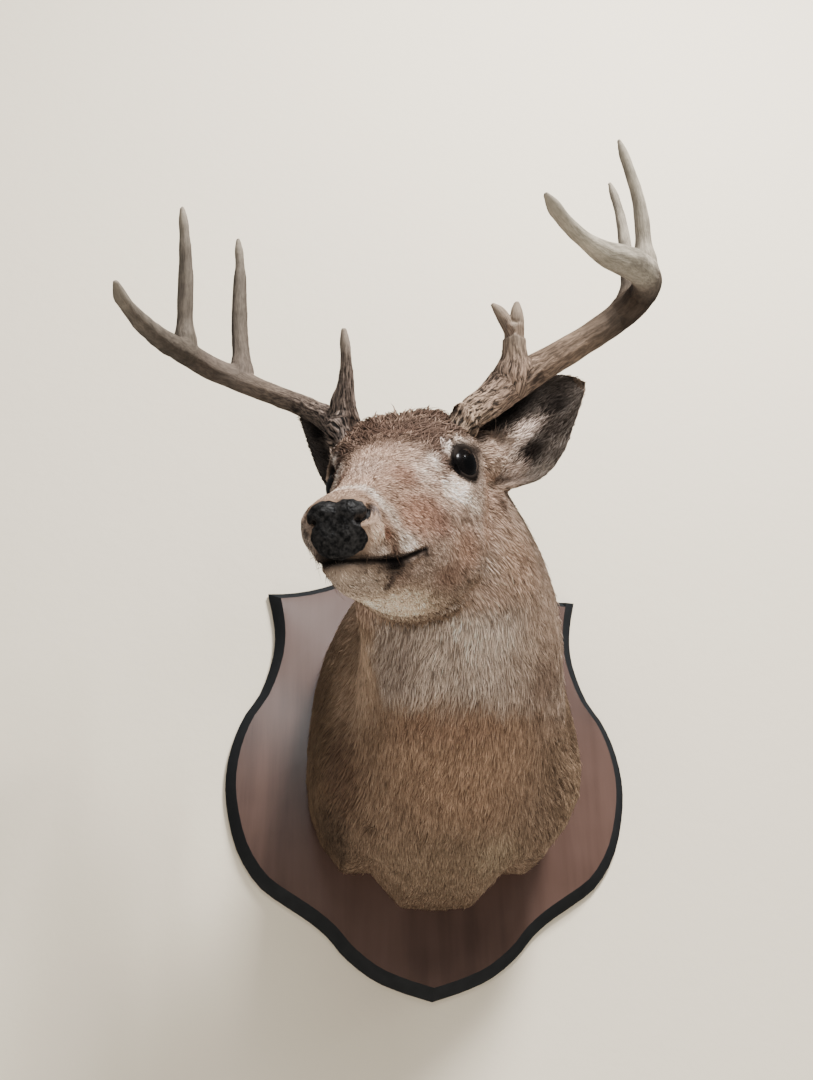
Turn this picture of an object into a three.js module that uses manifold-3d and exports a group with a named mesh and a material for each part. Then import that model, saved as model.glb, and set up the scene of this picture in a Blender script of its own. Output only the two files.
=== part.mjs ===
import * as THREE from "three";
import { mergeVertices } from "three/addons/utils/BufferGeometryUtils.js";
import Module from "manifold-3d";

// White-tailed deer shoulder mount on its shield board, life size, in millimetres.
// X runs along the wall, Y into the wall and Z up; the wall plane is y = 0.
// The origin is on the back of the board, on its centre line, at its widest level.

const wasm = await Module();
wasm.setup();

const gap = 0.35; // air left between parts that meet

// ---------- board ----------
const boardHalfWidth = 217;
const boardThickness = 20;
const boardSquareEdge = 5; // square part of the edge, before the chamfer
const boardChamfer = 11.5; // how far the chamfer runs in over the face
const shoulderCorner = [179.5, 230.5];
const topArcRadius = 200; // hollow arc that rises from each corner
const topArcRun = 110;
const crownRadius = 125; // rounded crown between the two hollow arcs
const cusp = [106, -146]; // hollow between the side and the lobe at the foot
const tipHeight = -208;

// ---------- head, in its own frame: forward, left, up from between the eyes ----------
const headPlace = new THREE.Vector3(-76.9, -432.3, 146.2);
const headYaw = 21.7; // degrees, towards the deer's right
const headPitch = -19.4;
const headRoll = 1.9;
const eyeRadius = 16.5;
const eyeOpening = 12.6;
const eyes = {
  left: { centre: [-5, 48, 10], aim: [0.56, 0.82, 0.04] },
  right: { centre: [-4, -44.5, 1.5], aim: [0.56, -0.82, 0.04] },
};

// Half sections of the head: station f, top u, then half-widths with their levels, bottom u.
const headStations = [
  { f: -112, top: 30, wT: 20, uT: 20, hw: 30, uM: -22, wL: 22, uL: -60, bot: -72 },
  { f: -100, top: 46, wT: 40, uT: 34, hw: 56, uM: -18, wL: 36, uL: -74, bot: -92 },
  { f: -78, top: 59, wT: 47, uT: 46, hw: 66, uM: -10, wL: 46, uL: -82, bot: -106 },
  { f: -52, top: 64, wT: 50, uT: 54, hw: 65, uM: -4, wL: 50, uL: -86, bot: -111 },
  { f: -28, top: 63, wT: 49, uT: 52, hw: 65, uM: 0, wL: 50, uL: -84, bot: -111 },
  { f: -8, top: 54, wT: 45, uT: 43, hw: 62, uM: -4, wL: 47, uL: -80, bot: -109 },
  { f: 12, top: 43, wT: 40, uT: 32, hw: 57, uM: -14, wL: 44, uL: -78, bot: -107 },
  { f: 35, top: 30, wT: 33, uT: 18, hw: 50, uM: -26, wL: 40, uL: -78, bot: -105 },
  { f: 60, top: 17, wT: 26, uT: 6, hw: 43, uM: -36, wL: 36, uL: -78, bot: -103 },
  { f: 90, top: 1, wT: 20, uT: -8, hw: 35.5, uM: -46, wL: 31, uL: -80, bot: -101 },
  { f: 120, top: -14, wT: 17, uT: -21, hw: 29, uM: -51, wL: 25, uL: -80, bot: -100 },
  { f: 148, top: -25, wT: 17, uT: -31, hw: 27, uM: -53, wL: 18.5, uL: -81, bot: -98 },
  { f: 165, top: -30, wT: 17.5, uT: -35, hw: 26, uM: -54, wL: 13, uL: -79, bot: -92 },
  { f: 176, top: -35, wT: 15.5, uT: -40, hw: 22, uM: -54, wL: 8.5, uL: -75, bot: -83 },
  { f: 182, top: -43, wT: 10, uT: -46, hw: 14, uM: -54, wL: 7, uL: -63, bot: -67 },
];

// Swellings and hollows pressed into the head: centre, reach along f, l and u, height.
const headForms = [
  { at: [8, 54, 30], reach: [18, 16, 8], lift: 6 }, // brow ridge
  { at: [-26, 60, 12], reach: [12, 16, 14], lift: 4 }, // back rim of the orbit
  { at: [10, 56, -12], reach: [18, 14, 7], lift: 5 }, // cheekbone below the eye
  { at: [12, 56, 8], reach: [14, 14, 9], lift: -5 }, // orbit
  { at: [30, 47, 0], reach: [9, 12, 7], lift: -3 }, // hollow of the tear duct
  { at: [-12, 50, -62], reach: [26, 18, 22], lift: 4 }, // chewing muscle
  { at: [62, 36, -58], reach: [24, 14, 14], lift: -3 }, // hollow of the cheek
  { at: [166, 20, -48], reach: [8, 10, 9], lift: 3 }, // wing of the nostril
  { at: [120, 27, -62], reach: [30, 12, 8], lift: 2 }, // upper lip
];

// The mouth line runs from the front of the lips back to the corner of the mouth.
const mouthFront = [190, -74];
const mouthCorner = [84, -64];
const jawBack = 34;

// ---------- neck and shoulders: sections from the board forward ----------
const sectionKeys = ["top", "wT", "uT", "hw", "uM", "wL", "uL", "bot"];
const neckKeys = ["x", "y", "z", "yaw", "pitch", ...sectionKeys];
const neckStations = [
  [2, -20 - gap, 45, 0, 0, 194, 92, 148, 133, 8, 107, -120, -169],
  [2, -60, 45, 0, 0, 194, 91, 147, 133, 6, 108, -118, -168],
  [3, -105, 45, 0, 0, 192, 86, 146, 131, 0, 109, -115, -163],
  [5, -148, 47, 0, 0, 188, 76, 146, 125, -14, 101, -108, -152],
  [7, -188, 52, 0, 0, 180, 68, 140, 105, -8, 84, -90, -140],
  [5, -226, 64, 0, 0, 165, 64, 128, 97, 4, 71, -88, -132],
  [0, -264, 78, 2, 0, 146, 62, 114, 93, 6, 66, -84, -122],
  [-9, -302, 92, 6, -3, 128, 56, 98, 88, -6, 62, -78, -108],
  [-22, -338, 108, 12, -8, 110, 51, 79, 82, -18, 58, -70, -92],
  [-36, -366, 122, 17, -13, 91, 46, 64, 75, -14, 52, -62, -78],
  [-50, -390, 132, 20, -17, 68, 38, 50, 54, -8, 38, -50, -60],
  [-55, -400, 136, 21, -19, 40, 20, 30, 30, -8, 20, -30, -36],
].map((row, step) => ({ step, ...Object.fromEntries(neckKeys.map((key, i) => [key, row[i]])) }));
const legCutHeight = -87; // flat undersides left where the forelegs end
const legCutMiddle = 5;
const legCutInner = [43, 65];
const legCutDepth = [-95, -150];

// ---------- ears ----------
const earWall = 5;
const leftEar = {
  base: new THREE.Vector3(-60, 52, 28),
  tip: new THREE.Vector3(-163, 144, 104),
  facing: new THREE.Vector3(0.7, 0.69, 0.14),
  breadth: 1,
};
const rightEar = {
  base: new THREE.Vector3(-60, -52, 28),
  tip: new THREE.Vector3(-163, -134, 104),
  facing: new THREE.Vector3(0.62, -0.78, 0),
  breadth: 0.8,
};
// Furred root of each ear, along its axis: distance, radius.
const earRoot = [[-24, 20], [-6, 24], [12, 23], [28, 18], [40, 11], [46, 5]];
const earRootDrop = new THREE.Vector3(4, 0, -7);
// Along the ear: place, inner half-width, outer half-width, depth of the cup.
const earStations = [
  { t: 0, inner: 20, outer: 36, cup: 32 },
  { t: 0.16, inner: 24, outer: 46, cup: 33 },
  { t: 0.34, inner: 29, outer: 51, cup: 29 },
  { t: 0.52, inner: 30, outer: 46, cup: 22 },
  { t: 0.7, inner: 27, outer: 32, cup: 15 },
  { t: 0.85, inner: 20, outer: 18, cup: 9 },
  { t: 0.95, inner: 10, outer: 9, cup: 5 },
  { t: 1, inner: 3.5, outer: 3.5, cup: 3 },
];

// ---------- antlers, in the frame of the head; left side positive ----------
const leftBeam = {
  points: [
    [-30, 45, 40], [-36, 50, 54], [-56, 72, 71], [-77, 108, 98], [-94, 149, 122], [-98, 184, 142],
    [-76, 205, 153], [-38, 208, 153], [14, 199, 148], [58, 181, 146], [96, 163, 151],
    [123, 152, 161], [130, 149, 166],
  ],
  radii: [13.5, 14, 14, 13.5, 12.2, 12.7, 12.2, 12.1, 11.8, 10.5, 7.5, 3.8, 1.4],
  cuts: [0.34, 0.64],
};
const rightBeam = {
  points: [
    [-30, -45, 40], [-35, -53, 55], [-55, -72, 73], [-81, -103, 94], [-99, -141, 115], [-104, -172, 132],
    [-83, -192, 142], [-44, -197, 146], [8, -192, 142], [56, -183, 138], [100, -174, 136],
    [131, -170, 142], [140, -168, 149],
  ],
  radii: [12.5, 13, 11, 9.9, 9.6, 10.8, 11.1, 10.7, 9.5, 8, 6.4, 3.9, 1.6],
  cuts: [0.34, 0.64],
};
const tines = [
  {
    name: "antler_left_brow_tine",
    points: [[-65, 90, 84], [-62, 93, 103], [-59, 95, 122], [-57, 96, 134]],
    radii: [12.5, 10, 8.6, 8],
  },
  {
    name: "antler_left_brow_fork_inner",
    points: [[-57, 93, 128], [-55, 88, 141], [-55, 84, 148], [-55, 79, 154]],
    radii: [6, 4.6, 3.4, 1.3],
  },
  {
    name: "antler_left_brow_fork_outer",
    points: [[-58, 98, 128], [-58, 99, 138], [-59, 99, 146], [-59, 100, 154]],
    radii: [5.6, 4.8, 4.2, 1.8],
  },
  {
    name: "antler_left_second_tine",
    points: [[-97, 187, 140], [-107, 192, 168], [-118, 192, 207], [-126, 189, 246], [-130, 183, 274]],
    radii: [9.5, 7.4, 5.9, 4.3, 1.2],
  },
  {
    name: "antler_left_third_tine",
    points: [[-36, 207, 155], [-36, 209, 186], [-35, 208, 217], [-33, 202, 246], [-31, 197, 268]],
    radii: [9.5, 6.6, 5.4, 3.9, 1.2],
  },
  {
    name: "antler_right_brow_tine",
    points: [[-46, -53, 58], [-35, -49, 81], [-29, -45, 109], [-23, -43, 141]],
    radii: [11, 8.4, 5.6, 2],
  },
  {
    name: "antler_right_second_tine",
    points: [[-104, -167, 130], [-113, -171, 157], [-121, -174, 196], [-127, -173, 240], [-127, -173, 278]],
    radii: [10, 8.2, 7.8, 5.9, 1.5],
  },
  {
    name: "antler_right_third_tine",
    points: [[-44, -197, 143], [-44, -196, 175], [-41, -192, 209], [-35, -188, 244], [-30, -187, 275]],
    radii: [9.6, 7.6, 7, 5.5, 1.5],
  },
];

const ringPoints = 28;
const tidyWithin = 0.3; // short edges are merged where the surface moves less than this
const up = new THREE.Vector3(0, 0, 1);

// Smooth value between the stations of a list, at place s along key.
function between(list, key, s, value) {
  let i = 0;
  while (i < list.length - 2 && list[i + 1][key] < s) i += 1;
  const a = list[i];
  const b = list[i + 1];
  const before = list[Math.max(i - 1, 0)];
  const after = list[Math.min(i + 2, list.length - 1)];
  const span = b[key] - a[key];
  const t = (s - a[key]) / span;
  const slopeA = ((b[value] - before[value]) / (b[key] - before[key])) * span;
  const slopeB = ((after[value] - a[value]) / (after[key] - a[key])) * span;
  const t2 = t * t;
  const t3 = t2 * t;
  return (
    (2 * t3 - 3 * t2 + 1) * a[value] + (t3 - 2 * t2 + t) * slopeA +
    (3 * t2 - 2 * t3) * b[value] + (t3 - t2) * slopeB
  );
}

// Closed outline of a section, as [sideways, up] pairs.
function sectionOutline(s) {
  const control = [
    [0, s.top], [s.wT, s.uT], [s.hw, s.uM], [s.wL, s.uL],
    [0, s.bot], [-s.wL, s.uL], [-s.hw, s.uM], [-s.wT, s.uT],
  ];
  const curve = new THREE.CatmullRomCurve3(
    control.map(([x, y]) => new THREE.Vector3(x, y, 0)), true, "catmullrom", 0.62,
  );
  const outline = [];
  for (let i = 0; i < ringPoints; i += 1) {
    const p = curve.getPoint(i / ringPoints);
    outline.push([p.x, p.y]);
  }
  return outline;
}

// Closed body through rings of equal count, with a fan over each end.
function loft(rings) {
  const n = rings[0].length;
  const positions = [];
  const index = [];
  for (const ring of rings) for (const p of ring) positions.push(p.x, p.y, p.z);
  for (let r = 0; r < rings.length - 1; r += 1) {
    for (let i = 0; i < n; i += 1) {
      const a = r * n + i;
      const b = r * n + ((i + 1) % n);
      index.push(a, b, b + n, a, b + n, a + n);
    }
  }
  const addFan = (ring, start, turned) => {
    const middle = new THREE.Vector3();
    for (const p of ring) middle.add(p);
    middle.divideScalar(n);
    const centre = positions.length / 3;
    positions.push(middle.x, middle.y, middle.z);
    for (let i = 0; i < n; i += 1) {
      const a = start + i;
      const b = start + ((i + 1) % n);
      if (turned) index.push(centre, b, a);
      else index.push(centre, a, b);
    }
  };
  addFan(rings[0], 0, true);
  addFan(rings[rings.length - 1], (rings.length - 1) * n, false);
  const geometry = new THREE.BufferGeometry();
  geometry.setAttribute("position", new THREE.Float32BufferAttribute(positions, 3));
  geometry.setIndex(index);
  return geometry;
}

// Biggest of the separate bodies of a solid.
function largest(solid) {
  return solid.decompose().sort((a, b) => b.volume() - a.volume())[0];
}

function makeManifold(geometry) {
  const bare = new THREE.BufferGeometry();
  bare.setAttribute("position", geometry.getAttribute("position"));
  if (geometry.index) bare.setIndex(geometry.index);
  const merged = mergeVertices(bare, 1e-4);
  const vertProperties = new Float32Array(merged.attributes.position.array);
  const triVerts = new Uint32Array(merged.index.array);
  const made = new wasm.Manifold(new wasm.Mesh({ numProp: 3, vertProperties, triVerts }));
  if (made.volume() > 0) return made;
  for (let i = 0; i < triVerts.length; i += 3) {
    const keep = triVerts[i];
    triVerts[i] = triVerts[i + 1];
    triVerts[i + 1] = keep;
  }
  return new wasm.Manifold(new wasm.Mesh({ numProp: 3, vertProperties, triVerts }));
}

// ---------- frames ----------
function frameFrom(yaw, pitch, roll) {
  const y = THREE.MathUtils.degToRad(yaw);
  const p = THREE.MathUtils.degToRad(pitch);
  const r = THREE.MathUtils.degToRad(roll);
  const level = new THREE.Vector3(-Math.sin(y), -Math.cos(y), 0);
  const side = new THREE.Vector3(Math.cos(y), -Math.sin(y), 0);
  const forward = level.clone().multiplyScalar(Math.cos(p)).addScaledVector(up, Math.sin(p));
  const rise = level.clone().multiplyScalar(-Math.sin(p)).addScaledVector(up, Math.cos(p));
  const left = side.clone().multiplyScalar(Math.cos(r)).addScaledVector(rise, -Math.sin(r));
  const top = side.clone().multiplyScalar(Math.sin(r)).addScaledVector(rise, Math.cos(r));
  return { forward, left, top };
}

const head = frameFrom(headYaw, headPitch, headRoll);

function fromHead(f, l, u) {
  return headPlace.clone()
    .addScaledVector(head.forward, f)
    .addScaledVector(head.left, l)
    .addScaledVector(head.top, u);
}

// ---------- board ----------
function boardSide() {
  const side = new THREE.SplineCurve([
    shoulderCorner, [173.5, 205], [170, 178], [172.5, 148], [184, 111], [201, 83], [212.5, 50],
    [boardHalfWidth, 14], [213, -22], [200.5, -62], [178, -95], [150, -115], [126, -130], cusp,
    [89, -165], [62, -185.5], [33, -198], [0, tipHeight],
  ].map(([x, z]) => new THREE.Vector2(x, z)));
  return side.getPoints(42);
}

function boardTop() {
  const points = [];
  const [cornerX, cornerZ] = shoulderCorner;
  const hollowRise = topArcRadius - Math.sqrt(topArcRadius ** 2 - topArcRun ** 2);
  const crownRun = cornerX - topArcRun;
  const crownTop = cornerZ + hollowRise + crownRadius - Math.sqrt(crownRadius ** 2 - crownRun ** 2);
  for (let i = 0; i <= 6; i += 1) {
    const x = (crownRun * i) / 6;
    points.push(new THREE.Vector2(x, crownTop - crownRadius + Math.sqrt(crownRadius ** 2 - x ** 2)));
  }
  for (let i = 1; i < 7; i += 1) {
    const run = topArcRun * (1 - i / 7);
    const rise = topArcRadius - Math.sqrt(topArcRadius ** 2 - run ** 2);
    points.push(new THREE.Vector2(cornerX - run, cornerZ + rise));
  }
  return points;
}

// Outline moved in by a distance, mitred at its corners.
function insetOutline(outline, distance) {
  const n = outline.length;
  return outline.map((p, i) => {
    const a = outline[(i + n - 1) % n];
    const b = outline[(i + 1) % n];
    const d1 = p.clone().sub(a).normalize();
    const d2 = b.clone().sub(p).normalize();
    const n1 = new THREE.Vector2(d1.y, -d1.x);
    const n2 = new THREE.Vector2(d2.y, -d2.x);
    const miter = n1.clone().add(n2).normalize();
    return p.clone().addScaledVector(miter, distance / Math.max(miter.dot(n1), 0.5));
  });
}

function boardGeometry() {
  const half = [...boardTop(), ...boardSide()];
  const mirrored = half.slice(1, -1).reverse().map((p) => new THREE.Vector2(-p.x, p.y));
  const outline = [...half, ...mirrored];
  const face = insetOutline(outline, boardChamfer);
  const ringAt = (points, y) => points.map((p) => new THREE.Vector3(p.x, y, p.y));
  return loft([
    ringAt(outline, 0),
    ringAt(outline, -boardSquareEdge),
    ringAt(face, -boardThickness),
  ]);
}

// ---------- flesh ----------
function pressForms(f, l, u) {
  const p = new THREE.Vector3(0, l, u);
  const out = new THREE.Vector3(0, l, u + 30).normalize();
  for (const form of headForms) {
    const df = (f - form.at[0]) / form.reach[0];
    const dl = (Math.abs(l) - form.at[1]) / form.reach[1];
    const du = (u - form.at[2]) / form.reach[2];
    p.addScaledVector(out, form.lift * Math.exp(-(df * df + dl * dl + du * du)));
  }
  return fromHead(f, p.y, p.z);
}

function headGeometry() {
  const first = headStations[0].f;
  const last = headStations[headStations.length - 1].f;
  const places = [];
  for (let f = first; f < 156; f += 14) places.push(f);
  places.push(160, 167, 173, 178, last);
  const rings = places.map((f) => {
    const section = {};
    for (const key of sectionKeys) section[key] = between(headStations, "f", f, key);
    return sectionOutline(section).map(([l, u]) => pressForms(f, l, u));
  });
  return loft(rings);
}

function smoothStep(low, high, x) {
  const t = Math.min(Math.max((x - low) / (high - low), 0), 1);
  return t * t * (3 - 2 * t);
}

function neckGeometry() {
  const rings = [];
  for (let k = 0; k <= (neckStations.length - 1) * 2; k += 1) {
    const s = {};
    for (const key of neckKeys) s[key] = between(neckStations, "step", k / 2, key);
    if (k === 0) s.y = neckStations[0].y;
    const frame = frameFrom(s.yaw, s.pitch, 0);
    const cutDepth = 1 - smoothStep(-legCutDepth[0], -legCutDepth[1], -s.y);
    rings.push(sectionOutline(s).map(([l, u]) => {
      const p = new THREE.Vector3(s.x, s.y, s.z)
        .addScaledVector(frame.left, l)
        .addScaledVector(frame.top, u);
      const out = smoothStep(legCutInner[0], legCutInner[1], Math.abs(p.x - legCutMiddle)) * cutDepth;
      if (p.z < legCutHeight) p.z += (legCutHeight - p.z) * out;
      return p;
    }));
  }
  return loft(rings);
}

function earGeometry(ear, side) {
  const axis = ear.tip.clone().sub(ear.base);
  const length = axis.length();
  axis.normalize();
  const facing = ear.facing.clone().addScaledVector(axis, -ear.facing.dot(axis)).normalize();
  const across = facing.clone().cross(axis).multiplyScalar(side);
  const steps = 7;
  const rows = 11;
  const rings = [];
  for (let k = 0; k <= rows; k += 1) {
    const t = k / rows;
    const s = {};
    for (const key of ["inner", "outer", "cup"]) s[key] = between(earStations, "t", t, key);
    const wall = earWall * (1 - 0.45 * t);
    const ring = [];
    const place = (turn, thinner) => {
      const a = (turn * Math.PI) / 2;
      const reach = (turn > 0 ? s.inner : s.outer) * ear.breadth - thinner;
      const depth = Math.max(s.cup - thinner, 0.4) * Math.cos(a) ** 0.8;
      const p = ear.base.clone()
        .addScaledVector(axis, t * length)
        .addScaledVector(across, Math.max(reach, 0.8) * Math.sin(a))
        .addScaledVector(facing, -depth + (thinner > 0 ? 1 : 0));
      return fromHead(p.x, p.y, p.z);
    };
    for (let i = 0; i <= steps; i += 1) ring.push(place(-1 + (2 * i) / steps, 0));
    for (let i = steps; i >= 0; i -= 1) ring.push(place(-1 + (2 * i) / steps, wall));
    rings.push(ring);
  }
  return loft(rings);
}

function earRootGeometry(ear) {
  const base = fromHead(ear.base.x + earRootDrop.x, ear.base.y, ear.base.z + earRootDrop.z);
  const axis = fromHead(ear.tip.x, ear.tip.y, ear.tip.z)
    .sub(fromHead(ear.base.x, ear.base.y, ear.base.z))
    .normalize();
  const profile = [[0, earRoot[0][0]], ...earRoot.map(([along, radius]) => [radius, along]), [0, 48]];
  const root = new THREE.LatheGeometry(profile.map(([x, y]) => new THREE.Vector2(x, y)), 12);
  root.applyQuaternion(new THREE.Quaternion().setFromUnitVectors(new THREE.Vector3(0, 1, 0), axis));
  root.translate(base.x, base.y, base.z);
  return root;
}

// ---------- antlers ----------
function hornGeometry(horn, grow, sides, rows) {
  const curve = new THREE.CatmullRomCurve3(horn.points.map(([f, l, u]) => fromHead(f, l, u)));
  const frames = curve.computeFrenetFrames(rows, false);
  const last = horn.radii.length - 1;
  const rings = [];
  for (let r = 0; r <= rows; r += 1) {
    const t = r / rows;
    const centre = curve.getPointAt(t);
    const place = curve.getUtoTmapping(t) * last;
    const i = Math.min(Math.floor(place), last - 1);
    const radius = horn.radii[i] + (horn.radii[i + 1] - horn.radii[i]) * (place - i) + grow;
    const ring = [];
    for (let k = 0; k < sides; k += 1) {
      const a = (k / sides) * Math.PI * 2;
      ring.push(centre.clone()
        .addScaledVector(frames.normals[r], radius * Math.cos(a))
        .addScaledVector(frames.binormals[r], radius * Math.sin(a)));
    }
    rings.push(ring);
  }
  return loft(rings);
}

function burrGeometry(beam, grow) {
  const at = fromHead(...beam.points[1]);
  const aim = fromHead(...beam.points[2]).sub(at).normalize();
  const radius = beam.radii[1];
  const profile = [
    [0, -7 - grow], [radius - 1 + grow, -7 - grow], [radius + 4.5 + grow, -2 - grow],
    [radius + 4.5 + grow, 2.5 + grow], [radius - 1 + grow, 7 + grow], [0, 7 + grow],
  ].map(([x, y]) => new THREE.Vector2(x, y));
  const burr = new THREE.LatheGeometry(profile, 14);
  burr.applyQuaternion(new THREE.Quaternion().setFromUnitVectors(new THREE.Vector3(0, 1, 0), aim));
  burr.translate(at.x, at.y, at.z);
  return burr;
}

// Thin slab across a beam at a place along it.
function slabAcross(beam, t) {
  const curve = new THREE.CatmullRomCurve3(beam.points.map(([f, l, u]) => fromHead(f, l, u)));
  const slab = new THREE.BoxGeometry(60, 60, gap);
  slab.applyQuaternion(new THREE.Quaternion().setFromUnitVectors(up, curve.getTangentAt(t)));
  const at = curve.getPointAt(t);
  slab.translate(at.x, at.y, at.z);
  return { slab, at };
}

// ---------- cutting the flesh into named parts ----------
// Prism across the head from an outline in forward and up.
function headPrism(outline, halfWidth) {
  const shape = new THREE.Shape(outline.map(([f, u]) => new THREE.Vector2(f, u)));
  const prism = new THREE.ExtrudeGeometry(shape, { depth: halfWidth * 2, bevelEnabled: false });
  prism.translate(0, 0, -halfWidth);
  const position = prism.getAttribute("position");
  for (let i = 0; i < position.count; i += 1) {
    const p = fromHead(position.getX(i), -position.getZ(i), position.getY(i));
    position.setXYZ(i, p.x, p.y, p.z);
  }
  return makeManifold(prism);
}

function eyeBall(eye, radius) {
  const ball = new THREE.SphereGeometry(radius, 12, 8);
  const at = fromHead(...eye.centre);
  ball.translate(at.x, at.y, at.z);
  return ball;
}

// Round hole between the lids, opening outwards from the middle of the eye.
function lidHole(eye) {
  const hole = new THREE.CylinderGeometry(eyeOpening * 1.3, eyeOpening * 0.8, 34, 16);
  hole.translate(0, 17, 0);
  const aim = fromHead(...eye.aim).sub(headPlace).normalize();
  hole.applyQuaternion(new THREE.Quaternion().setFromUnitVectors(new THREE.Vector3(0, 1, 0), aim));
  const at = fromHead(...eye.centre);
  hole.translate(at.x, at.y, at.z);
  return makeManifold(hole);
}

const beams = { left: leftBeam, right: rightBeam };
const beamSides = 9;
const beamRows = 30;
const grownBeams = {};
for (const [side, beam] of Object.entries(beams)) {
  const grown = makeManifold(hornGeometry(beam, gap, beamSides, beamRows));
  grownBeams[side] = grown.add(makeManifold(burrGeometry(beam, gap)));
}

const skull = makeManifold(headGeometry())
  .add(makeManifold(earRootGeometry(leftEar)))
  .add(makeManifold(earRootGeometry(rightEar)));
const wholeNeck = makeManifold(neckGeometry());
let flesh = skull.add(wholeNeck);
for (const eye of [eyes.left, eyes.right]) {
  flesh = flesh.subtract(makeManifold(eyeBall(eye, eyeRadius + gap))).subtract(lidHole(eye));
}
flesh = flesh.subtract(grownBeams.left).subtract(grownBeams.right);

// Each region is cut out whole, then the rest is trimmed back by the gap.
function cutOut(outline, halfWidth) {
  const near = outline.near;
  const region = headPrism(near, halfWidth);
  const wider = headPrism(outline.far, halfWidth + gap);
  const piece = flesh.intersect(region);
  flesh = flesh.subtract(wider);
  return piece;
}

const noseBack = 168;
const nosePad = cutOut({
  near: [[noseBack, -20], [200, -20], [200, -69], [noseBack + 6, -69]],
  far: [[noseBack - gap, -20], [200, -20], [200, -69 - gap], [noseBack + 6 - gap, -69 - gap]],
}, 21.5);
const jaw = cutOut({
  near: [mouthFront, [190, -140], [jawBack, -140], [jawBack, -68], mouthCorner],
  far: [
    [mouthFront[0], mouthFront[1] + gap], [190, -140], [jawBack - gap, -140],
    [jawBack - gap, -68 + gap], [mouthCorner[0], mouthCorner[1] + gap],
  ],
}, 60);
const muzzleBack = 62;
const muzzle = cutOut({
  near: [[muzzleBack + 18, 40], [200, 40], [200, -120], [muzzleBack - 18, -120]],
  far: [[muzzleBack + 18 - gap, 40], [200, 40], [200, -120], [muzzleBack - 18 - gap, -120]],
}, 90);

// The head ends behind the ears, across the throat; the shoulders end at the base of the neck.
const headCut = makeManifold(
  new THREE.BoxGeometry(400, 400, gap)
    .applyQuaternion(new THREE.Quaternion().setFromUnitVectors(up, frameFrom(17, -2, 0).forward))
    .translate(-38, -362, 100),
);
const shoulderCut = makeManifold(
  new THREE.BoxGeometry(500, gap, 700)
    .applyMatrix4(new THREE.Matrix4().makeRotationX(-0.3))
    .translate(0, -178, 60),
);
const pieces = flesh.subtract(headCut).subtract(shoulderCut).decompose();
pieces.sort((a, b) => a.boundingBox().min[1] - b.boundingBox().min[1]);
const [cranium, neck, shoulder] = pieces.filter((p) => p.volume() > 1000);

// ---------- finishes and named parts ----------
const finishes = {
  fur: { color: 0x8f7a63, roughness: 0.95, metalness: 0 },
  nose: { color: 0x1b1a1b, roughness: 0.45, metalness: 0 },
  eye: { color: 0x0b0908, roughness: 0.05, metalness: 0 },
  antler: { color: 0x8d7c66, roughness: 0.6, metalness: 0 },
  wood: { color: 0x7d4f45, roughness: 0.45, metalness: 0 },
};

const mount = new THREE.Group();
mount.name = "deer_shoulder_mount";

function addPart(name, manifold, finish) {
  const mesh = manifold.simplify(finish === "fur" ? tidyWithin : tidyWithin / 3).getMesh();
  const geometry = new THREE.BufferGeometry();
  geometry.setAttribute("position", new THREE.Float32BufferAttribute(mesh.vertProperties, 3));
  geometry.setIndex(new THREE.BufferAttribute(new Uint32Array(mesh.triVerts), 1));
  geometry.computeVertexNormals();
  const part = new THREE.Mesh(geometry, new THREE.MeshStandardMaterial(finishes[finish]));
  part.name = name;
  mount.add(part);
}

addPart("board", makeManifold(boardGeometry()), "wood");
addPart("shoulder", shoulder, "fur");
addPart("neck", neck, "fur");
addPart("head", cranium, "fur");
addPart("muzzle", muzzle, "fur");
addPart("lower_jaw", jaw, "fur");
addPart("nose_pad", nosePad, "nose");

for (const [side, ear, sign] of [["left", leftEar, 1], ["right", rightEar, -1]]) {
  const axis = ear.tip.clone().sub(ear.base).normalize().multiplyScalar(gap * 1.3);
  const outward = fromHead(axis.x, axis.y, axis.z).sub(headPlace).toArray();
  let shell = makeManifold(earGeometry(ear, sign)).subtract(grownBeams[side]);
  for (const solid of [skull, wholeNeck]) {
    shell = shell.subtract(solid).subtract(solid.translate(outward));
  }
  addPart(`ear_${side}`, largest(shell), "fur");
  addPart(`eye_${side}`, makeManifold(eyeBall(eyes[side], eyeRadius)), "eye");
}

for (const [side, beam] of Object.entries(beams)) {
  let whole = makeManifold(hornGeometry(beam, 0, beamSides, beamRows));
  whole = whole.add(makeManifold(burrGeometry(beam, 0)));
  const cuts = beam.cuts.map((t) => slabAcross(beam, t));
  for (const cut of cuts) whole = whole.subtract(makeManifold(cut.slab));
  const parts = whole.decompose().filter((p) => p.volume() > 500);
  const start = fromHead(...beam.points[0]);
  const reach = (p) => {
    const box = p.boundingBox();
    const middle = new THREE.Vector3(
      (box.min[0] + box.max[0]) / 2, (box.min[1] + box.max[1]) / 2, (box.min[2] + box.max[2]) / 2,
    );
    return middle.distanceTo(start);
  };
  parts.sort((a, b) => reach(a) - reach(b));
  addPart(`antler_${side}_base`, parts[0], "antler");
  addPart(`antler_${side}_beam`, parts[1], "antler");
  addPart(`antler_${side}_tip`, parts[2], "antler");
}

const raisedSkull = skull.translate(head.top.clone().multiplyScalar(gap * 1.4).toArray());
const grownBrow = makeManifold(hornGeometry(tines[0], gap, 8, 8));
const grownFork = makeManifold(hornGeometry(tines[1], gap, 8, 8));
for (const tine of tines) {
  const side = tine.name.includes("_left_") ? "left" : "right";
  let horn = makeManifold(hornGeometry(tine, 0, 8, 8)).subtract(grownBeams[side]);
  if (tine.name.includes("fork")) horn = horn.subtract(grownBrow);
  if (tine.name.includes("outer")) horn = horn.subtract(grownFork);
  if (tine.name.includes("brow")) horn = horn.subtract(skull).subtract(raisedSkull);
  addPart(tine.name, largest(horn), "antler");
}

export default mount;
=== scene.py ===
import bmesh
import bpy
import math
import numpy as np
from mathutils import Matrix, Vector
from mathutils.kdtree import KDTree


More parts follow.
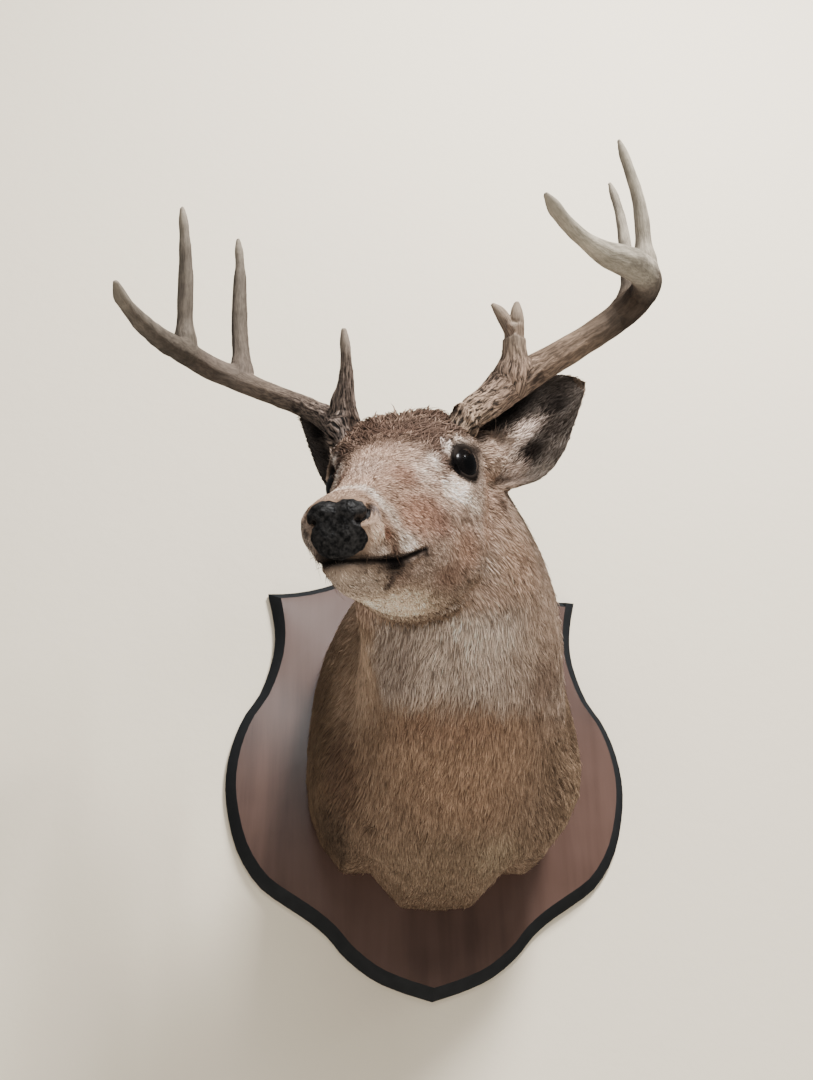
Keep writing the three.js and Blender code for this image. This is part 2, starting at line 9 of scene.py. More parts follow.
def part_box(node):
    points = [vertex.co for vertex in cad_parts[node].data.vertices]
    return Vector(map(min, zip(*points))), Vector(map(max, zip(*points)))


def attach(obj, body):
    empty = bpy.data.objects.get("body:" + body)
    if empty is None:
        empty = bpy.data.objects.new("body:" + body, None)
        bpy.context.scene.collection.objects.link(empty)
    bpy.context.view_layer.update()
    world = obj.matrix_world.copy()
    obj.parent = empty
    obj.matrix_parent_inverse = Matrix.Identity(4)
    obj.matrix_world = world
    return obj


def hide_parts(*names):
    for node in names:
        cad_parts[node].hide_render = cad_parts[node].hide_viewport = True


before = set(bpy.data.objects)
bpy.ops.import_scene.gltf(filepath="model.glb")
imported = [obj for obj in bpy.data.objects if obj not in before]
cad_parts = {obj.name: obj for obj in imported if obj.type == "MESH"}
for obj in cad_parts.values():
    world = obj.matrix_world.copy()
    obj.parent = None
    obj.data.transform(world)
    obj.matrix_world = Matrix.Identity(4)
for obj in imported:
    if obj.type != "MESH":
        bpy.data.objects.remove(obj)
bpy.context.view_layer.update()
bpy.ops.object.select_all(action="DESELECT")
scene = bpy.context.scene
mm = 0.001
print("frame loaded")


def hexColour(text, alpha=1.0):  # sRGB hex to the linear values that Blender works in
    parts = [int(text[i:i + 2], 16) / 255 for i in (0, 2, 4)]
    return [c / 12.92 if c <= 0.04045 else ((c + 0.055) / 1.055) ** 2.4 for c in parts] + [alpha]


def smoothStep(low, high, x):
    t = np.clip((x - low) / (high - low), 0, 1)
    return t * t * (3 - 2 * t)


hashPrimes = (73856093, 19349663, 83492791)  # one for each axis
hashMixers = (40503, 2246822519, 3266489917)


def wander(points, size, seed=0):  # smooth noise from -1 to 1, with lumps of about that size
    q = np.asarray(points) / size
    base = np.floor(q).astype(np.int64)
    part = q - base
    part = part * part * (3 - 2 * part)
    total = np.zeros(len(q))
    for corner in np.ndindex(2, 2, 2):  # each corner of a cell gets its value from a hash of its place
        mixed = (seed + 1) * hashMixers[0]
        for k in range(3):
            mixed = mixed ^ (base[:, k] + corner[k]) * hashPrimes[k]
        mixed = (mixed ^ (mixed >> 15)) * hashMixers[1] & 0xFFFFFFFF
        mixed = (mixed ^ (mixed >> 13)) * hashMixers[2] & 0xFFFFFFFF
        value = (mixed >> 8) / 8388607.5 - 1  # its top 24 bits, as a value from -1 to 1
        total += value * np.prod(np.where(np.array(corner) == 1, part, 1 - part), axis=1)
    return total


tintMix = {"data_type": "RGBA", "blend_type": "MULTIPLY", 0: 1.0}  # a Mix node that multiplies two colours


def addNode(tree, kind, settings=None, links=None):  # in the links, a node stands for its first output
    node = tree.nodes.new("ShaderNode" + kind)
    for key, value in (settings or {}).items():
        if key == "stops":  # places and colours of a ramp
            steps = node.color_ramp.elements
            for step, (place, tone) in ((steps[0], value[0]), (steps[1], value[-1])):
                step.position, step.color = place, hexColour(tone)
            for place, tone in value[1:-1]:
                steps.new(place).color = hexColour(tone)
        elif isinstance(key, int) or key in node.inputs:
            node.inputs[key].default_value = value
        else:
            setattr(node, key, value)
    for key, source in (links or {}).items():
        tree.links.new(getattr(source, "outputs", [source])[0], node.inputs[key])
    return node


def newMaterial(name):
    material = bpy.data.materials.new(name)
    material.use_nodes = True
    material.node_tree.nodes.clear()
    return material, material.node_tree


def pickOnly(piece):
    bpy.ops.object.select_all(action="DESELECT")
    piece.select_set(True)
    bpy.context.view_layer.objects.active = piece


def editAll(operator, **settings):  # one edit-mode operator on all of the picked piece
    bpy.ops.object.mode_set(mode="EDIT")
    bpy.ops.mesh.select_all(action="SELECT")
    operator(**settings)
    bpy.ops.object.mode_set(mode="OBJECT")


def applyModifier(piece, kind, **settings):
    pickOnly(piece)
    modifier = piece.modifiers.new(kind.title(), kind)
    for key, value in settings.items():
        setattr(modifier, key, value)
    bpy.ops.object.modifier_apply(modifier=modifier.name)


def applyWhere(piece, share, steps, reach, kind, **settings):  # a modifier that acts by a share, taken in steps
    group = piece.vertex_groups.new(name="share")
    for step in steps:
        group.add(np.nonzero(share >= step - reach)[0].tolist(), step, "REPLACE")
    applyModifier(piece, kind, vertex_group="share", **settings)
    piece.vertex_groups.clear()


def copyNodes(names, pieceName):  # joined, merged copy of some CAD nodes
    copies = []
    for name in names:
        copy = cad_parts[name].copy()
        copy.data = copy.data.copy()
        copy.parent = None
        for key in list(copy.keys()):
            del copy[key]
        scene.collection.objects.link(copy)
        copies.append(copy)
    pickOnly(copies[0])
    for copy in copies:
        copy.select_set(True)
    if len(copies) > 1:
        bpy.ops.object.join()
    piece = bpy.context.view_layer.objects.active
    piece.name = pieceName
    piece.data.name = pieceName
    piece.data.materials.clear()
    editAll(bpy.ops.mesh.remove_doubles, threshold=0.00001)
    return piece


def readArray(items, key, width=3, kind=np.float32):
    flat = np.empty(len(items) * width, kind)
    items.foreach_get(key, flat)
    return flat.reshape(-1, width)


def readPoints(mesh):
    return readArray(mesh.vertices, "co").astype(float)


def writePoints(mesh, points):
    mesh.vertices.foreach_set("co", np.asarray(points, np.float32).ravel())
    mesh.update()


def readNormals(mesh):
    return readArray(mesh.vertex_normals, "vector").astype(float)


def unit(vectors):
    return vectors / np.maximum(np.linalg.norm(vectors, axis=-1, keepdims=True), 1e-9)


# camera, lights and backdrop
view = {"location": (-0.17058, -1.24965, -0.30482), "yaw": 6.97, "pitch": 25.98, "roll": -0.98, "lens": 38.99}
bpy.ops.object.camera_add(location=view["location"])
camera = bpy.context.object
turn = Matrix.Rotation(math.radians(-view["yaw"]), 4, "Z")
tilt = Matrix.Rotation(math.radians(90 + view["pitch"]), 4, "X")
lean = Matrix.Rotation(math.radians(view["roll"]), 4, "Z")
camera.matrix_world = Matrix.Translation(view["location"]) @ turn @ tilt @ lean
camera.data.lens = view["lens"]
scene.camera = camera

lights = {
    "lampLight": {"at": (0.6, -1.5, 1.7), "aim": (0, -0.2, 0.1), "size": 0.5, "power": 112, "glint": False},
    "windowLight": {"at": (-0.22, -2.1, 1.1), "aim": (0, -0.2, 0.1), "size": 0.5, "power": 14, "glint": True},
    "bounceLight": {"at": (0.15, -0.9, -1.0), "aim": (0, -0.35, 0.1), "size": 0.9, "power": 6, "glint": False},
    "sparkLight": {"at": (0.9, -1.7, 1.1), "aim": (0, -0.4, 0.15), "size": 0.16, "power": 2.5, "glint": True},
}
for name, lamp in lights.items():
    bpy.ops.object.light_add(type="AREA", location=lamp["at"])
    light = bpy.context.object
    light.name = name
    light.data.size = lamp["size"]
    light.data.energy = lamp["power"]
    light.visible_glossy = lamp["glint"]
    light.rotation_euler = (Vector(lamp["aim"]) - Vector(lamp["at"])).to_track_quat("-Z", "Y").to_euler()

stageLook = {
    "wall": "efe3cd", "floor": "e0d8ca", "sky": "dfdad1", "skyStrength": 0.27, "glintStrength": 0.06,
    "size": 7, "wallMiddle": (0, 0.001, 2.4), "floorMiddle": (0, -2.5, -1.1),
}
world = bpy.data.worlds.new("studio")
scene.world = world
world.use_nodes = True
sky = world.node_tree
sky.nodes.clear()
path = addNode(sky, "LightPath")
lit = addNode(sky, "Background", {"Color": (1, 1, 1, 1), "Strength": stageLook["skyStrength"]})
shown = addNode(sky, "Background", {"Color": hexColour(stageLook["sky"]), "Strength": 1.0})
glint = addNode(sky, "Background", {"Color": (1, 1, 1, 1), "Strength": stageLook["glintStrength"]})
dim = addNode(sky, "MixShader", None, {0: path.outputs["Is Glossy Ray"], 1: lit, 2: glint})
whole = addNode(sky, "MixShader", None, {0: path.outputs["Is Camera Ray"], 1: dim, 2: shown})
addNode(sky, "OutputWorld", None, {"Surface": whole})


def plasterMaterial(name, colour, oneSided):  # matt plaster, with trowel marks about 17 mm across
    material, tree = newMaterial(name)
    place = {"Vector": addNode(tree, "TexCoord").outputs["Object"]}
    grain = addNode(tree, "TexNoise", {"Scale": 60.0, "Detail": 4.0}, place)
    bump = addNode(tree, "Bump", {"Strength": 0.25, "Distance": 0.002}, {"Height": grain})
    last = addNode(tree, "BsdfPrincipled",
                   {"Base Color": hexColour(colour), "Roughness": 0.9, "Specular IOR Level": 0.2}, {"Normal": bump})
    if oneSided:  # the wall is open from behind, so that the back of the board can be seen
        side = addNode(tree, "NewGeometry")
        clear = addNode(tree, "BsdfTransparent")
        last = addNode(tree, "MixShader", None, {0: side.outputs["Backfacing"], 1: last, 2: clear})
    addNode(tree, "OutputMaterial", None, {"Surface": last})
    return material


bpy.ops.mesh.primitive_plane_add(size=stageLook["size"], location=stageLook["wallMiddle"],
                                 rotation=(math.radians(90), 0, 0))
wall = bpy.context.object
wall.name = "wall"
wall.data.materials.append(plasterMaterial("paintedPlaster", stageLook["wall"], True))
wall.visible_diffuse = False
wall.visible_shadow = False
wall.visible_glossy = False
bpy.ops.mesh.primitive_plane_add(size=stageLook["size"], location=stageLook["floorMiddle"])
floor = bpy.context.object
floor.name = "floor"
floor.data.materials.append(plasterMaterial("paleFloor", stageLook["floor"], False))
floor.visible_glossy = False
print("stage ready")

# board
boardLook = {
    "edgeRound": 1.1 * mm, "face": "57423a", "faceDark": "43322c", "faceLight": "604a42",
    # the edge tone is a lighter grey than the chamfer paint: a painted sheen on the square edge
    "chamfer": "272829", "edge": "3b3733", "back": "8a6d52",
    "facing": (0.985, 0.12, -0.9),  # how far a face looks into the room: front, chamfer, edge
}


def woodMaterial():  # varnished mahogany-stained board: long soft grain, thin scratches, satin coat
    material, tree = newMaterial("varnishedBoard")
    place = {"Vector": addNode(tree, "TexCoord").outputs["Object"]}
    stretch = addNode(tree, "Mapping", {"Scale": (26.0, 26.0, 2.2)}, place)  # grain 13 mm wide, 150 mm long
    grain = addNode(tree, "TexNoise", {"Scale": 3.0, "Detail": 7.0, "Roughness": 0.6}, {"Vector": stretch})
    cloud = addNode(tree, "TexNoise", {"Scale": 7.0, "Detail": 3.0}, place)  # uneven stain, 140 mm
    both = addNode(tree, "Math", {"operation": "MULTIPLY_ADD", 1: 0.55}, {0: grain, 2: cloud})
    stops = [(0.5, boardLook["faceDark"]), (0.78, boardLook["face"]), (1.0, boardLook["faceLight"])]
    ramp = addNode(tree, "ValToRGB", {"stops": stops}, {0: both})
    fine = addNode(tree, "Mapping", {"Scale": (900.0, 900.0, 40.0)}, place)  # pores 1.1 mm wide, 25 mm long
    pores = addNode(tree, "TexNoise", {"Scale": 1.0, "Detail": 2.0}, {"Vector": fine})
    bump = addNode(tree, "Bump", {"Strength": 0.12, "Distance": 0.0004}, {"Height": pores})
    sheen = addNode(tree, "MapRange", {"To Min": 0.28, "To Max": 0.4}, {"Value": cloud})
    wood = addNode(tree, "BsdfPrincipled", {"IOR": 1.5, "Coat Weight": 0.25, "Coat Roughness": 0.3},
                   {"Base Color": ramp, "Roughness": sheen, "Normal": bump})
    addNode(tree, "OutputMaterial", None, {"Surface": wood})
    return material


def paintMaterial(name, colour, roughness):  # brushed oil paint, a little uneven over about 11 mm
    material, tree = newMaterial(name)
    place = {"Vector": addNode(tree, "TexCoord").outputs["Object"]}
    uneven = addNode(tree, "TexNoise", {"Scale": 90.0, "Detail": 4.0}, place)
    tone = addNode(tree, "MapRange", {"To Min": 0.75, "To Max": 1.3}, {"Value": uneven})
    tint = addNode(tree, "Mix", {**tintMix, 6: hexColour(colour)}, {7: tone})
    bump = addNode(tree, "Bump", {"Strength": 0.15, "Distance": 0.0005}, {"Height": uneven})
    paint = addNode(tree, "BsdfPrincipled", {"Roughness": roughness}, {"Base Color": tint.outputs[2], "Normal": bump})
    addNode(tree, "OutputMaterial", None, {"Surface": paint})
    return material


board = copyNodes(["board"], "shieldBoard")
editAll(bpy.ops.mesh.dissolve_limited, angle_limit=math.radians(1))
applyModifier(board, "BEVEL", width=boardLook["edgeRound"], segments=3, limit_method="ANGLE",
              angle_limit=math.radians(24))
# the square edge gets a lighter copy of the black paint, a painted sheen
for material in (woodMaterial(), paintMaterial("blackEdgePaint", boardLook["chamfer"], 0.5),
                 paintMaterial("edgePaintPaintedSheen", boardLook["edge"], 0.6),
                 paintMaterial("rawWoodBack", boardLook["back"], 0.8)):
    board.data.materials.append(material)
for face in board.data.polygons:
    face.material_index = sum(-face.normal.y <= limit for limit in boardLook["facing"])
bpy.ops.object.shade_smooth_by_angle(angle=math.radians(30))
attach(board, "root")
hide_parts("board")
print("board ready")

# head frame
headTurn = {"yaw": 21.7, "pitch": -19.4, "roll": 1.9}
eyeSpots = {"left": (-5, 48, 10), "right": (-4, -44.5, 1.5)}  # forward, left, up from between the eyes, in mm
eyeAims = {"left": (0.56, 0.82, 0.04), "right": (0.56, -0.82, 0.04)}
eyeRadius = 16.5


def frameAxes(yaw, pitch, roll):
    y, p, r = (math.radians(a) for a in (yaw, pitch, roll))
    level = np.array([-math.sin(y), -math.cos(y), 0])
    side = np.array([math.cos(y), -math.sin(y), 0])
    up = np.array([0, 0, 1])
    forward = level * math.cos(p) + up * math.sin(p)
    rise = up * math.cos(p) - level * math.sin(p)
    return np.array([forward, side * math.cos(r) - rise * math.sin(r), side * math.sin(r) + rise * math.cos(r)])


headAxes = frameAxes(**headTurn)
eyeMiddle = np.array(sum(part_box("eye_left"), Vector()) / 2)
headPlace = eyeMiddle - np.array(eyeSpots["left"]) * mm @ headAxes


def toHead(points):
    return (np.asarray(points) - headPlace) @ headAxes.T / mm


def fromHead(points):
    return headPlace + np.asarray(points, float) * mm @ headAxes


# skin
skinLook = {
    "closeSeams": 0.4, "voxel": 2.1, "plug": 18.2,  # mm; a plug is a ball that fills the socket of an eye
    "smoothRounds": 6, "rootRounds": 24, "trunkKeep": 0.4,
}
fleshNodes = ["shoulder", "neck", "head", "muzzle", "lower_jaw", "ear_left", "ear_right"]
skin = copyNodes(fleshNodes + ["nose_pad"], "skin")
points = readPoints(skin.data) + readNormals(skin.data) * skinLook["closeSeams"] * mm
writePoints(skin.data, points)
plugs = []
for side in ("left", "right"):
    bpy.ops.mesh.primitive_uv_sphere_add(segments=48, ring_count=24, radius=skinLook["plug"] * mm,
                                         location=fromHead(eyeSpots[side]))
    plugs.append(bpy.context.object)
pickOnly(skin)
for plug in plugs:
    plug.select_set(True)
bpy.ops.object.join()
applyModifier(skin, "REMESH", mode="VOXEL", voxel_size=skinLook["voxel"] * mm)
applyModifier(skin, "SMOOTH", factor=0.6, iterations=skinLook["smoothRounds"])

ears = {
    "left": {"base": (-60, 52, 28), "tip": (-163, 144, 104), "facing": (0.7, 0.69, 0.14)},
    "right": {"base": (-60, -52, 28), "tip": (-163, -134, 104), "facing": (0.62, -0.78, 0)},
}
for ear in ears.values():
    ear["axis"] = unit(np.array(ear["tip"], float) - ear["base"])


def earPlace(q, ear):  # offset from the base of an ear, distance along it, distance from its middle line, in mm
    off = q - np.array(ear["base"])
    along = off @ ear["axis"]
    return off, along, np.linalg.norm(off - along[:, None] * ear["axis"], axis=1)


def earShare(q):  # 1 on the ears, 0 on the head, from places in the frame of the head
    share = np.zeros(len(q))
    for ear in ears.values():
        _, along, aside = earPlace(q, ear)
        share = np.maximum(share, smoothStep(10, 26, along) * smoothStep(72, 58, aside))
    return share


q = toHead(readPoints(skin.data))
rootShare = np.zeros(len(q))
for ear in ears.values():  # the roots of the ears run softly into the head
    off, along, aside = earPlace(q, ear)
    near = np.linalg.norm(off, axis=1) < 62
    rootShare = np.maximum(rootShare, smoothStep(14, 26, along) * smoothStep(64, 50, along) * near)
applyWhere(skin, rootShare, (0.3, 0.6, 1.0), 0.15, "SMOOTH", factor=0.7, iterations=skinLook["rootRounds"])

mouthLook = {
    "line": [(60, -60), (76, -62.5), (84, -64), (93, -66.5), (107, -70), (123, -73.5), (144, -75), (165, -76),
             (185, -77)],  # forward and up, in mm
    "depth": 3.4, "width": 1.7, "lips": 0.8,
}


def mouthHeight(f):  # height of the mouth line along the snout
    return np.interp(f, *zip(*mouthLook["line"]))


# trunk thinned out, face made finer
q = toHead(readPoints(skin.data))
trunkShare = smoothStep(-95, -125, q[:, 0]) * (1 - earShare(q))
trunkShare += smoothStep(-105, -125, q[:, 2]) * smoothStep(20, 0, q[:, 0])
applyWhere(skin, trunkShare, (0.25, 0.5, 0.75, 1.0), 0.125, "DECIMATE", ratio=skinLook["trunkKeep"])


def refine(chooser, rounds):
    mesh = skin.data
    picked = chooser(toHead(readArray(mesh.polygons, "center").astype(float)))
    mesh.polygons.foreach_set("select", picked)
    mesh.edges.foreach_set("select", np.zeros(len(mesh.edges), bool))
    mesh.vertices.foreach_set("select", np.zeros(len(mesh.vertices), bool))
    pickOnly(skin)
    bpy.ops.object.mode_set(mode="EDIT")
    bpy.ops.mesh.select_mode(type="FACE")
    bpy.ops.mesh.subdivide(number_cuts=1, smoothness=0.6)
    bpy.ops.mesh.vertices_smooth(factor=0.5, repeat=rounds)
    bpy.ops.object.mode_set(mode="OBJECT")


def fineFace(q):  # round the eyes, at the nose and along the mouth
    nearEye = np.zeros(len(q), bool)
    for spot in eyeSpots.values():
        nearEye |= np.linalg.norm(q - np.array(spot), axis=1) < 30
    nearMouth = (np.abs(q[:, 2] - mouthHeight(q[:, 0])) < 8) & (q[:, 0] > 74)
    return nearEye | (q[:, 0] > 158) | nearMouth


refine(fineFace, 2)
print("skin joined", len(skin.data.vertices))

# eyelids: the skin dips behind the glass, rises to a rim and runs out into the face
lidLook = {
    "front": 12.6, "back": 14.8, "over": 12.6, "under": 11.6,  # half sizes of the opening
    "profile": [(0, -2.2), (0.86, -2.2), (0.95, -0.6), (1.02, 0.9), (1.1, 1.6), (1.22, 1.8), (1.4, 1.9), (1.6, 2.4),
                (2.0, 4.5)],  # share of the opening, height over the glass
    "crease": 1.3, "ductDepth": 2.6,
}
eyeFields = {}
for side, spot in eyeSpots.items():
    aim = unit(np.array(eyeAims[side]))
    snout = np.array([1.0, 0, -0.12])
    front = unit(snout - aim * (snout @ aim))
    above = np.cross(aim, front) * (1 if side == "right" else -1)
    eyeFields[side] = {"spot": np.array(spot), "aim": aim, "front": front, "above": above}


def eyePlace(q, side):  # place across the lids of one eye: forward, up, outward, share of the opening
    field = eyeFields[side]
    off = q - field["spot"]
    x, y, z = off @ field["front"], off @ field["above"], off @ field["aim"]
    halfWide = np.where(x > 0, lidLook["front"], lidLook["back"])
    halfTall = np.where(y > 0, lidLook["over"], lidLook["under"])
    return x, y, z, np.where(z > -3, np.hypot(x / halfWide, y / halfTall), 9.0)


def eyeShare(q):  # share of the opening of the nearer eye: 1 at the lid, more outside it
    return np.minimum(eyePlace(q, "left")[3], eyePlace(q, "right")[3])


q = toHead(readPoints(skin.data))
lidShares, lidHeights = zip(*lidLook["profile"])
for side, field in eyeFields.items():
    x, y, z, g = eyePlace(q, side)
    off = q - field["spot"]
    reach = np.linalg.norm(off, axis=1)
    target = np.interp(g, lidShares, [eyeRadius + height for height in lidHeights])
    target = target - lidLook["crease"] * np.exp(-((g - 1.42) / 0.09) ** 2) * smoothStep(-0.2, 0.5, y / 12)
    moved = reach + (target - reach) * (1 - smoothStep(1.3, 1.95, g))
    duct = np.exp(-((y + 3.5 + 0.25 * (x - 14)) / 2.4) ** 2) * smoothStep(12, 16, x) * smoothStep(31, 22, x) * (z > -4)
    moved = moved - lidLook["ductDepth"] * duct * (g > 0.95)
    outside = (z > 0) & (reach < 40)
    off = off * np.where(outside, moved / np.maximum(reach, 1e-6), 1)[:, None]
    q = np.where(outside[:, None], field["spot"] + off, q)
writePoints(skin.data, fromHead(q))

# softer forms, in mm: a place in the frame of the head, its reach, how far the skin rises there, and whether
# both sides have it
faceForms = [
    ((176, 12, -42), (8, 7.5, 5.5), 2.8),  # lobes over the nostrils
    ((176, -9, -42), (8, 7.5, 5.5), 2.8),
    ((180, 1.5, -37), (9, 3.0, 7), -1.7),  # dip between them
    ((186, 1.5, -68), (8, 1.4, 6), -0.9),  # groove of the upper lip
    ((180, 10, -62), (8, 8, 6), 1.2),  # pads of the upper lip
    ((180, -7, -62), (8, 8, 6), 1.2),
    ((164, 25, -60), (8, 8, 6), 1.5, "both"),
    ((148, 27, -57), (5, 7, 6), -2.0, "both"),
    ((134, 28, -72), (8, 8, 4), -1.4, "both"),
    ((150, 25, -47), (8, 8, 8), -1.8, "both"),  # hollow behind the nostril
    ((128, 30, -58), (16, 9, 7), 1.6, "both"),
    ((96, 34, -57), (12, 9, 6), 1.2, "both"),
    ((88, 33, -74), (10, 8, 5), -2.0, "both"),  # corner of the mouth
    ((168, 0, -84), (9, 12, 7), 1.6),  # chin
    ((112, 22, -84), (14, 8, 7), -1.6, "both"),
    ((30, 49, -34), (26, 12, 5), 1.8, "both"),  # ridge of the cheek
    ((60, 44, -33), (18, 12, 6), 1.4, "both"),
    ((66, 36, -15), (22, 12, 8), -1.6, "both"),
    ((0, 0, 52), (22, 12, 12), -1.6),
    ((8, 38, 34), (14, 10, 6), 2.2, "both"),  # brow
    ((-26, 18, 62), (12, 20, 8), 2.2, "both"),
    ((-52, 62, -4), (10, 12, 22), -2.4, "both"),
    ((-64, 81, 41), (14, 12, 13), -8.0, "both"),
    ((-163, 143, 108), (12, 12, 12), -4.0, "both"),  # rounded tips of the ears
    ((171, -19, -75), (9, 7, 5), 1.8),  # right corner of the lips, closed
    ((-4, 50, -76), (24, 14, 12), 2.0, "both"),
    ((34, 40, -92), (26, 14, 8), 1.4, "both"),
]
neckForms = [  # the same, in mm of the room
    ((-93, -188, 40), (20, 26, 38), -4.5),  # hollow between neck and shoulder
    ((-84, -194, -22), (20, 24, 30), -4.0),
    ((-58, -182, -66), (16, 24, 22), -3.5),
    ((84, -250, 10), (18, 26, 34), -4.5),
    ((62, -236, -36), (16, 22, 24), -3.5),
    ((-20, -292, -10), (30, 30, 30), 2.0),
    ((30, -352, 40), (14, 30, 40), -2.4),  # gullet
    ((-30, -345, 40), (14, 30, 40), -2.0),
    ((-112, -120, -30), (20, 40, 50), 3.0),
    ((120, -140, -20), (20, 40, 50), 3.0),
]


def formLift(places, forms):
    total = np.zeros(len(places))
    for at, reach, lift, *both in forms:
        for turn in ((1, -1) if both else (1,)):
            off = (places - np.array(at, float) * (1, turn, 1)) / np.array(reach, float)
            total += lift * np.exp(-(off ** 2).sum(axis=1))
    return total


def lineGap(q, line):  # distance from points to a bent line
    best = np.full(len(q), 1e9)
    for a, b in zip(line[:-1], line[1:]):
        a, b = np.array(a, float), np.array(b, float)
        t = np.clip(((q - a) @ (b - a)) / ((b - a) @ (b - a)), 0, 1)
        best = np.minimum(best, np.linalg.norm(q - a - t[:, None] * (b - a), axis=1))
    return best


noseMiddle = 1.5
creases = {  # bent lines in the frame of the head; those of the nose run out from its middle line
    "nostril": [(180, 15.5, -51), (177, 18.5, -50.5), (174, 20.5, -48.5), (172, 21.5, -45.5), (171, 21, -43)],
    "pad": [(184, 0, -47.5), (183, 6, -48.5), (181, 12.5, -52)],
    "jaw": [(30, -38, -92), (12, -28, -98), (-6, 0, -106), (-20, 31, -101), (-34, 50, -90)],
}
points = readPoints(skin.data)
q = toHead(points)
normals = readNormals(skin.data)
lift = formLift(q, faceForms) * smoothStep(1.1, 1.6, eyeShare(q))
lift += formLift(points / mm, neckForms)

# nostrils with raised rims, and the crease over the lip
halfNose = q * (1, 0, 1) + np.abs(q[:, 1:2] - noseMiddle) * (0, 1, 0)
near = lineGap(halfNose, creases["nostril"])
lift -= 5.5 * np.exp(-(near / 2.9) ** 4) + 0.4 * np.exp(-(lineGap(halfNose, creases["pad"]) / 1.5) ** 2)
lift += 0.6 * np.exp(-((near - 4.8) / 1.6) ** 2)
lift -= 2.6 * np.exp(-(lineGap(q, creases["jaw"]) / 5) ** 2)

# lips and the slit between them, which closes towards the right of the nose
off = q[:, 2] - mouthHeight(q[:, 0])
mouthShare = smoothStep(78, 92, q[:, 0]) * (np.abs(normals @ headAxes[2]) < 0.96)
mouthShare = mouthShare * (1 - 0.85 * smoothStep(-9, -18, q[:, 1]) * smoothStep(148, 164, q[:, 0]))
lips = mouthLook["lips"] * np.exp(-((off - 4.2) / 2.2) ** 2) + 0.7 * np.exp(-((off + 4.0) / 2.4) ** 2)
lift += mouthShare * lips
lift -= mouthShare * mouthLook["depth"] * np.exp(-(off / mouthLook["width"]) ** 2)
writePoints(skin.data, points + normals * lift[:, None] * mm)


def coatDepth(q):  # how far the tips of the coat stand over the skin, in mm
    eyeGap = eyeShare(q)
    back = smoothStep(150, 60, q[:, 0]) * 0.4 + smoothStep(60, -40, q[:, 0]) * 0.6
    neck = smoothStep(-60, -120, q[:, 0]) + smoothStep(-86, -120, q[:, 2]) * smoothStep(80, 20, q[:, 0])
    depth = 0.5 + back + 0.8 * np.clip(neck, 0, 1)
    depth += 1.5 * np.exp(-(((q - (-18, 0, 62)) / (34, 50, 24)) ** 2).sum(axis=1))
    onEar = earShare(q)
    depth = depth * (1 - onEar) + 0.8 * onEar
    depth = np.where(eyeGap < 2.2, 0.3 + (depth - 0.3) * smoothStep(1.15, 2.2, eyeGap), depth)
    return np.where(q[:, 0] > 166, depth * 0.3, depth)


points = readPoints(skin.data)
q = toHead(points)
writePoints(skin.data, points - readNormals(skin.data) * coatDepth(q)[:, None] * mm)
applyModifier(skin, "SMOOTH", factor=0.35, iterations=1)
print("skin shaped", len(skin.data.vertices), len(skin.data.polygons))

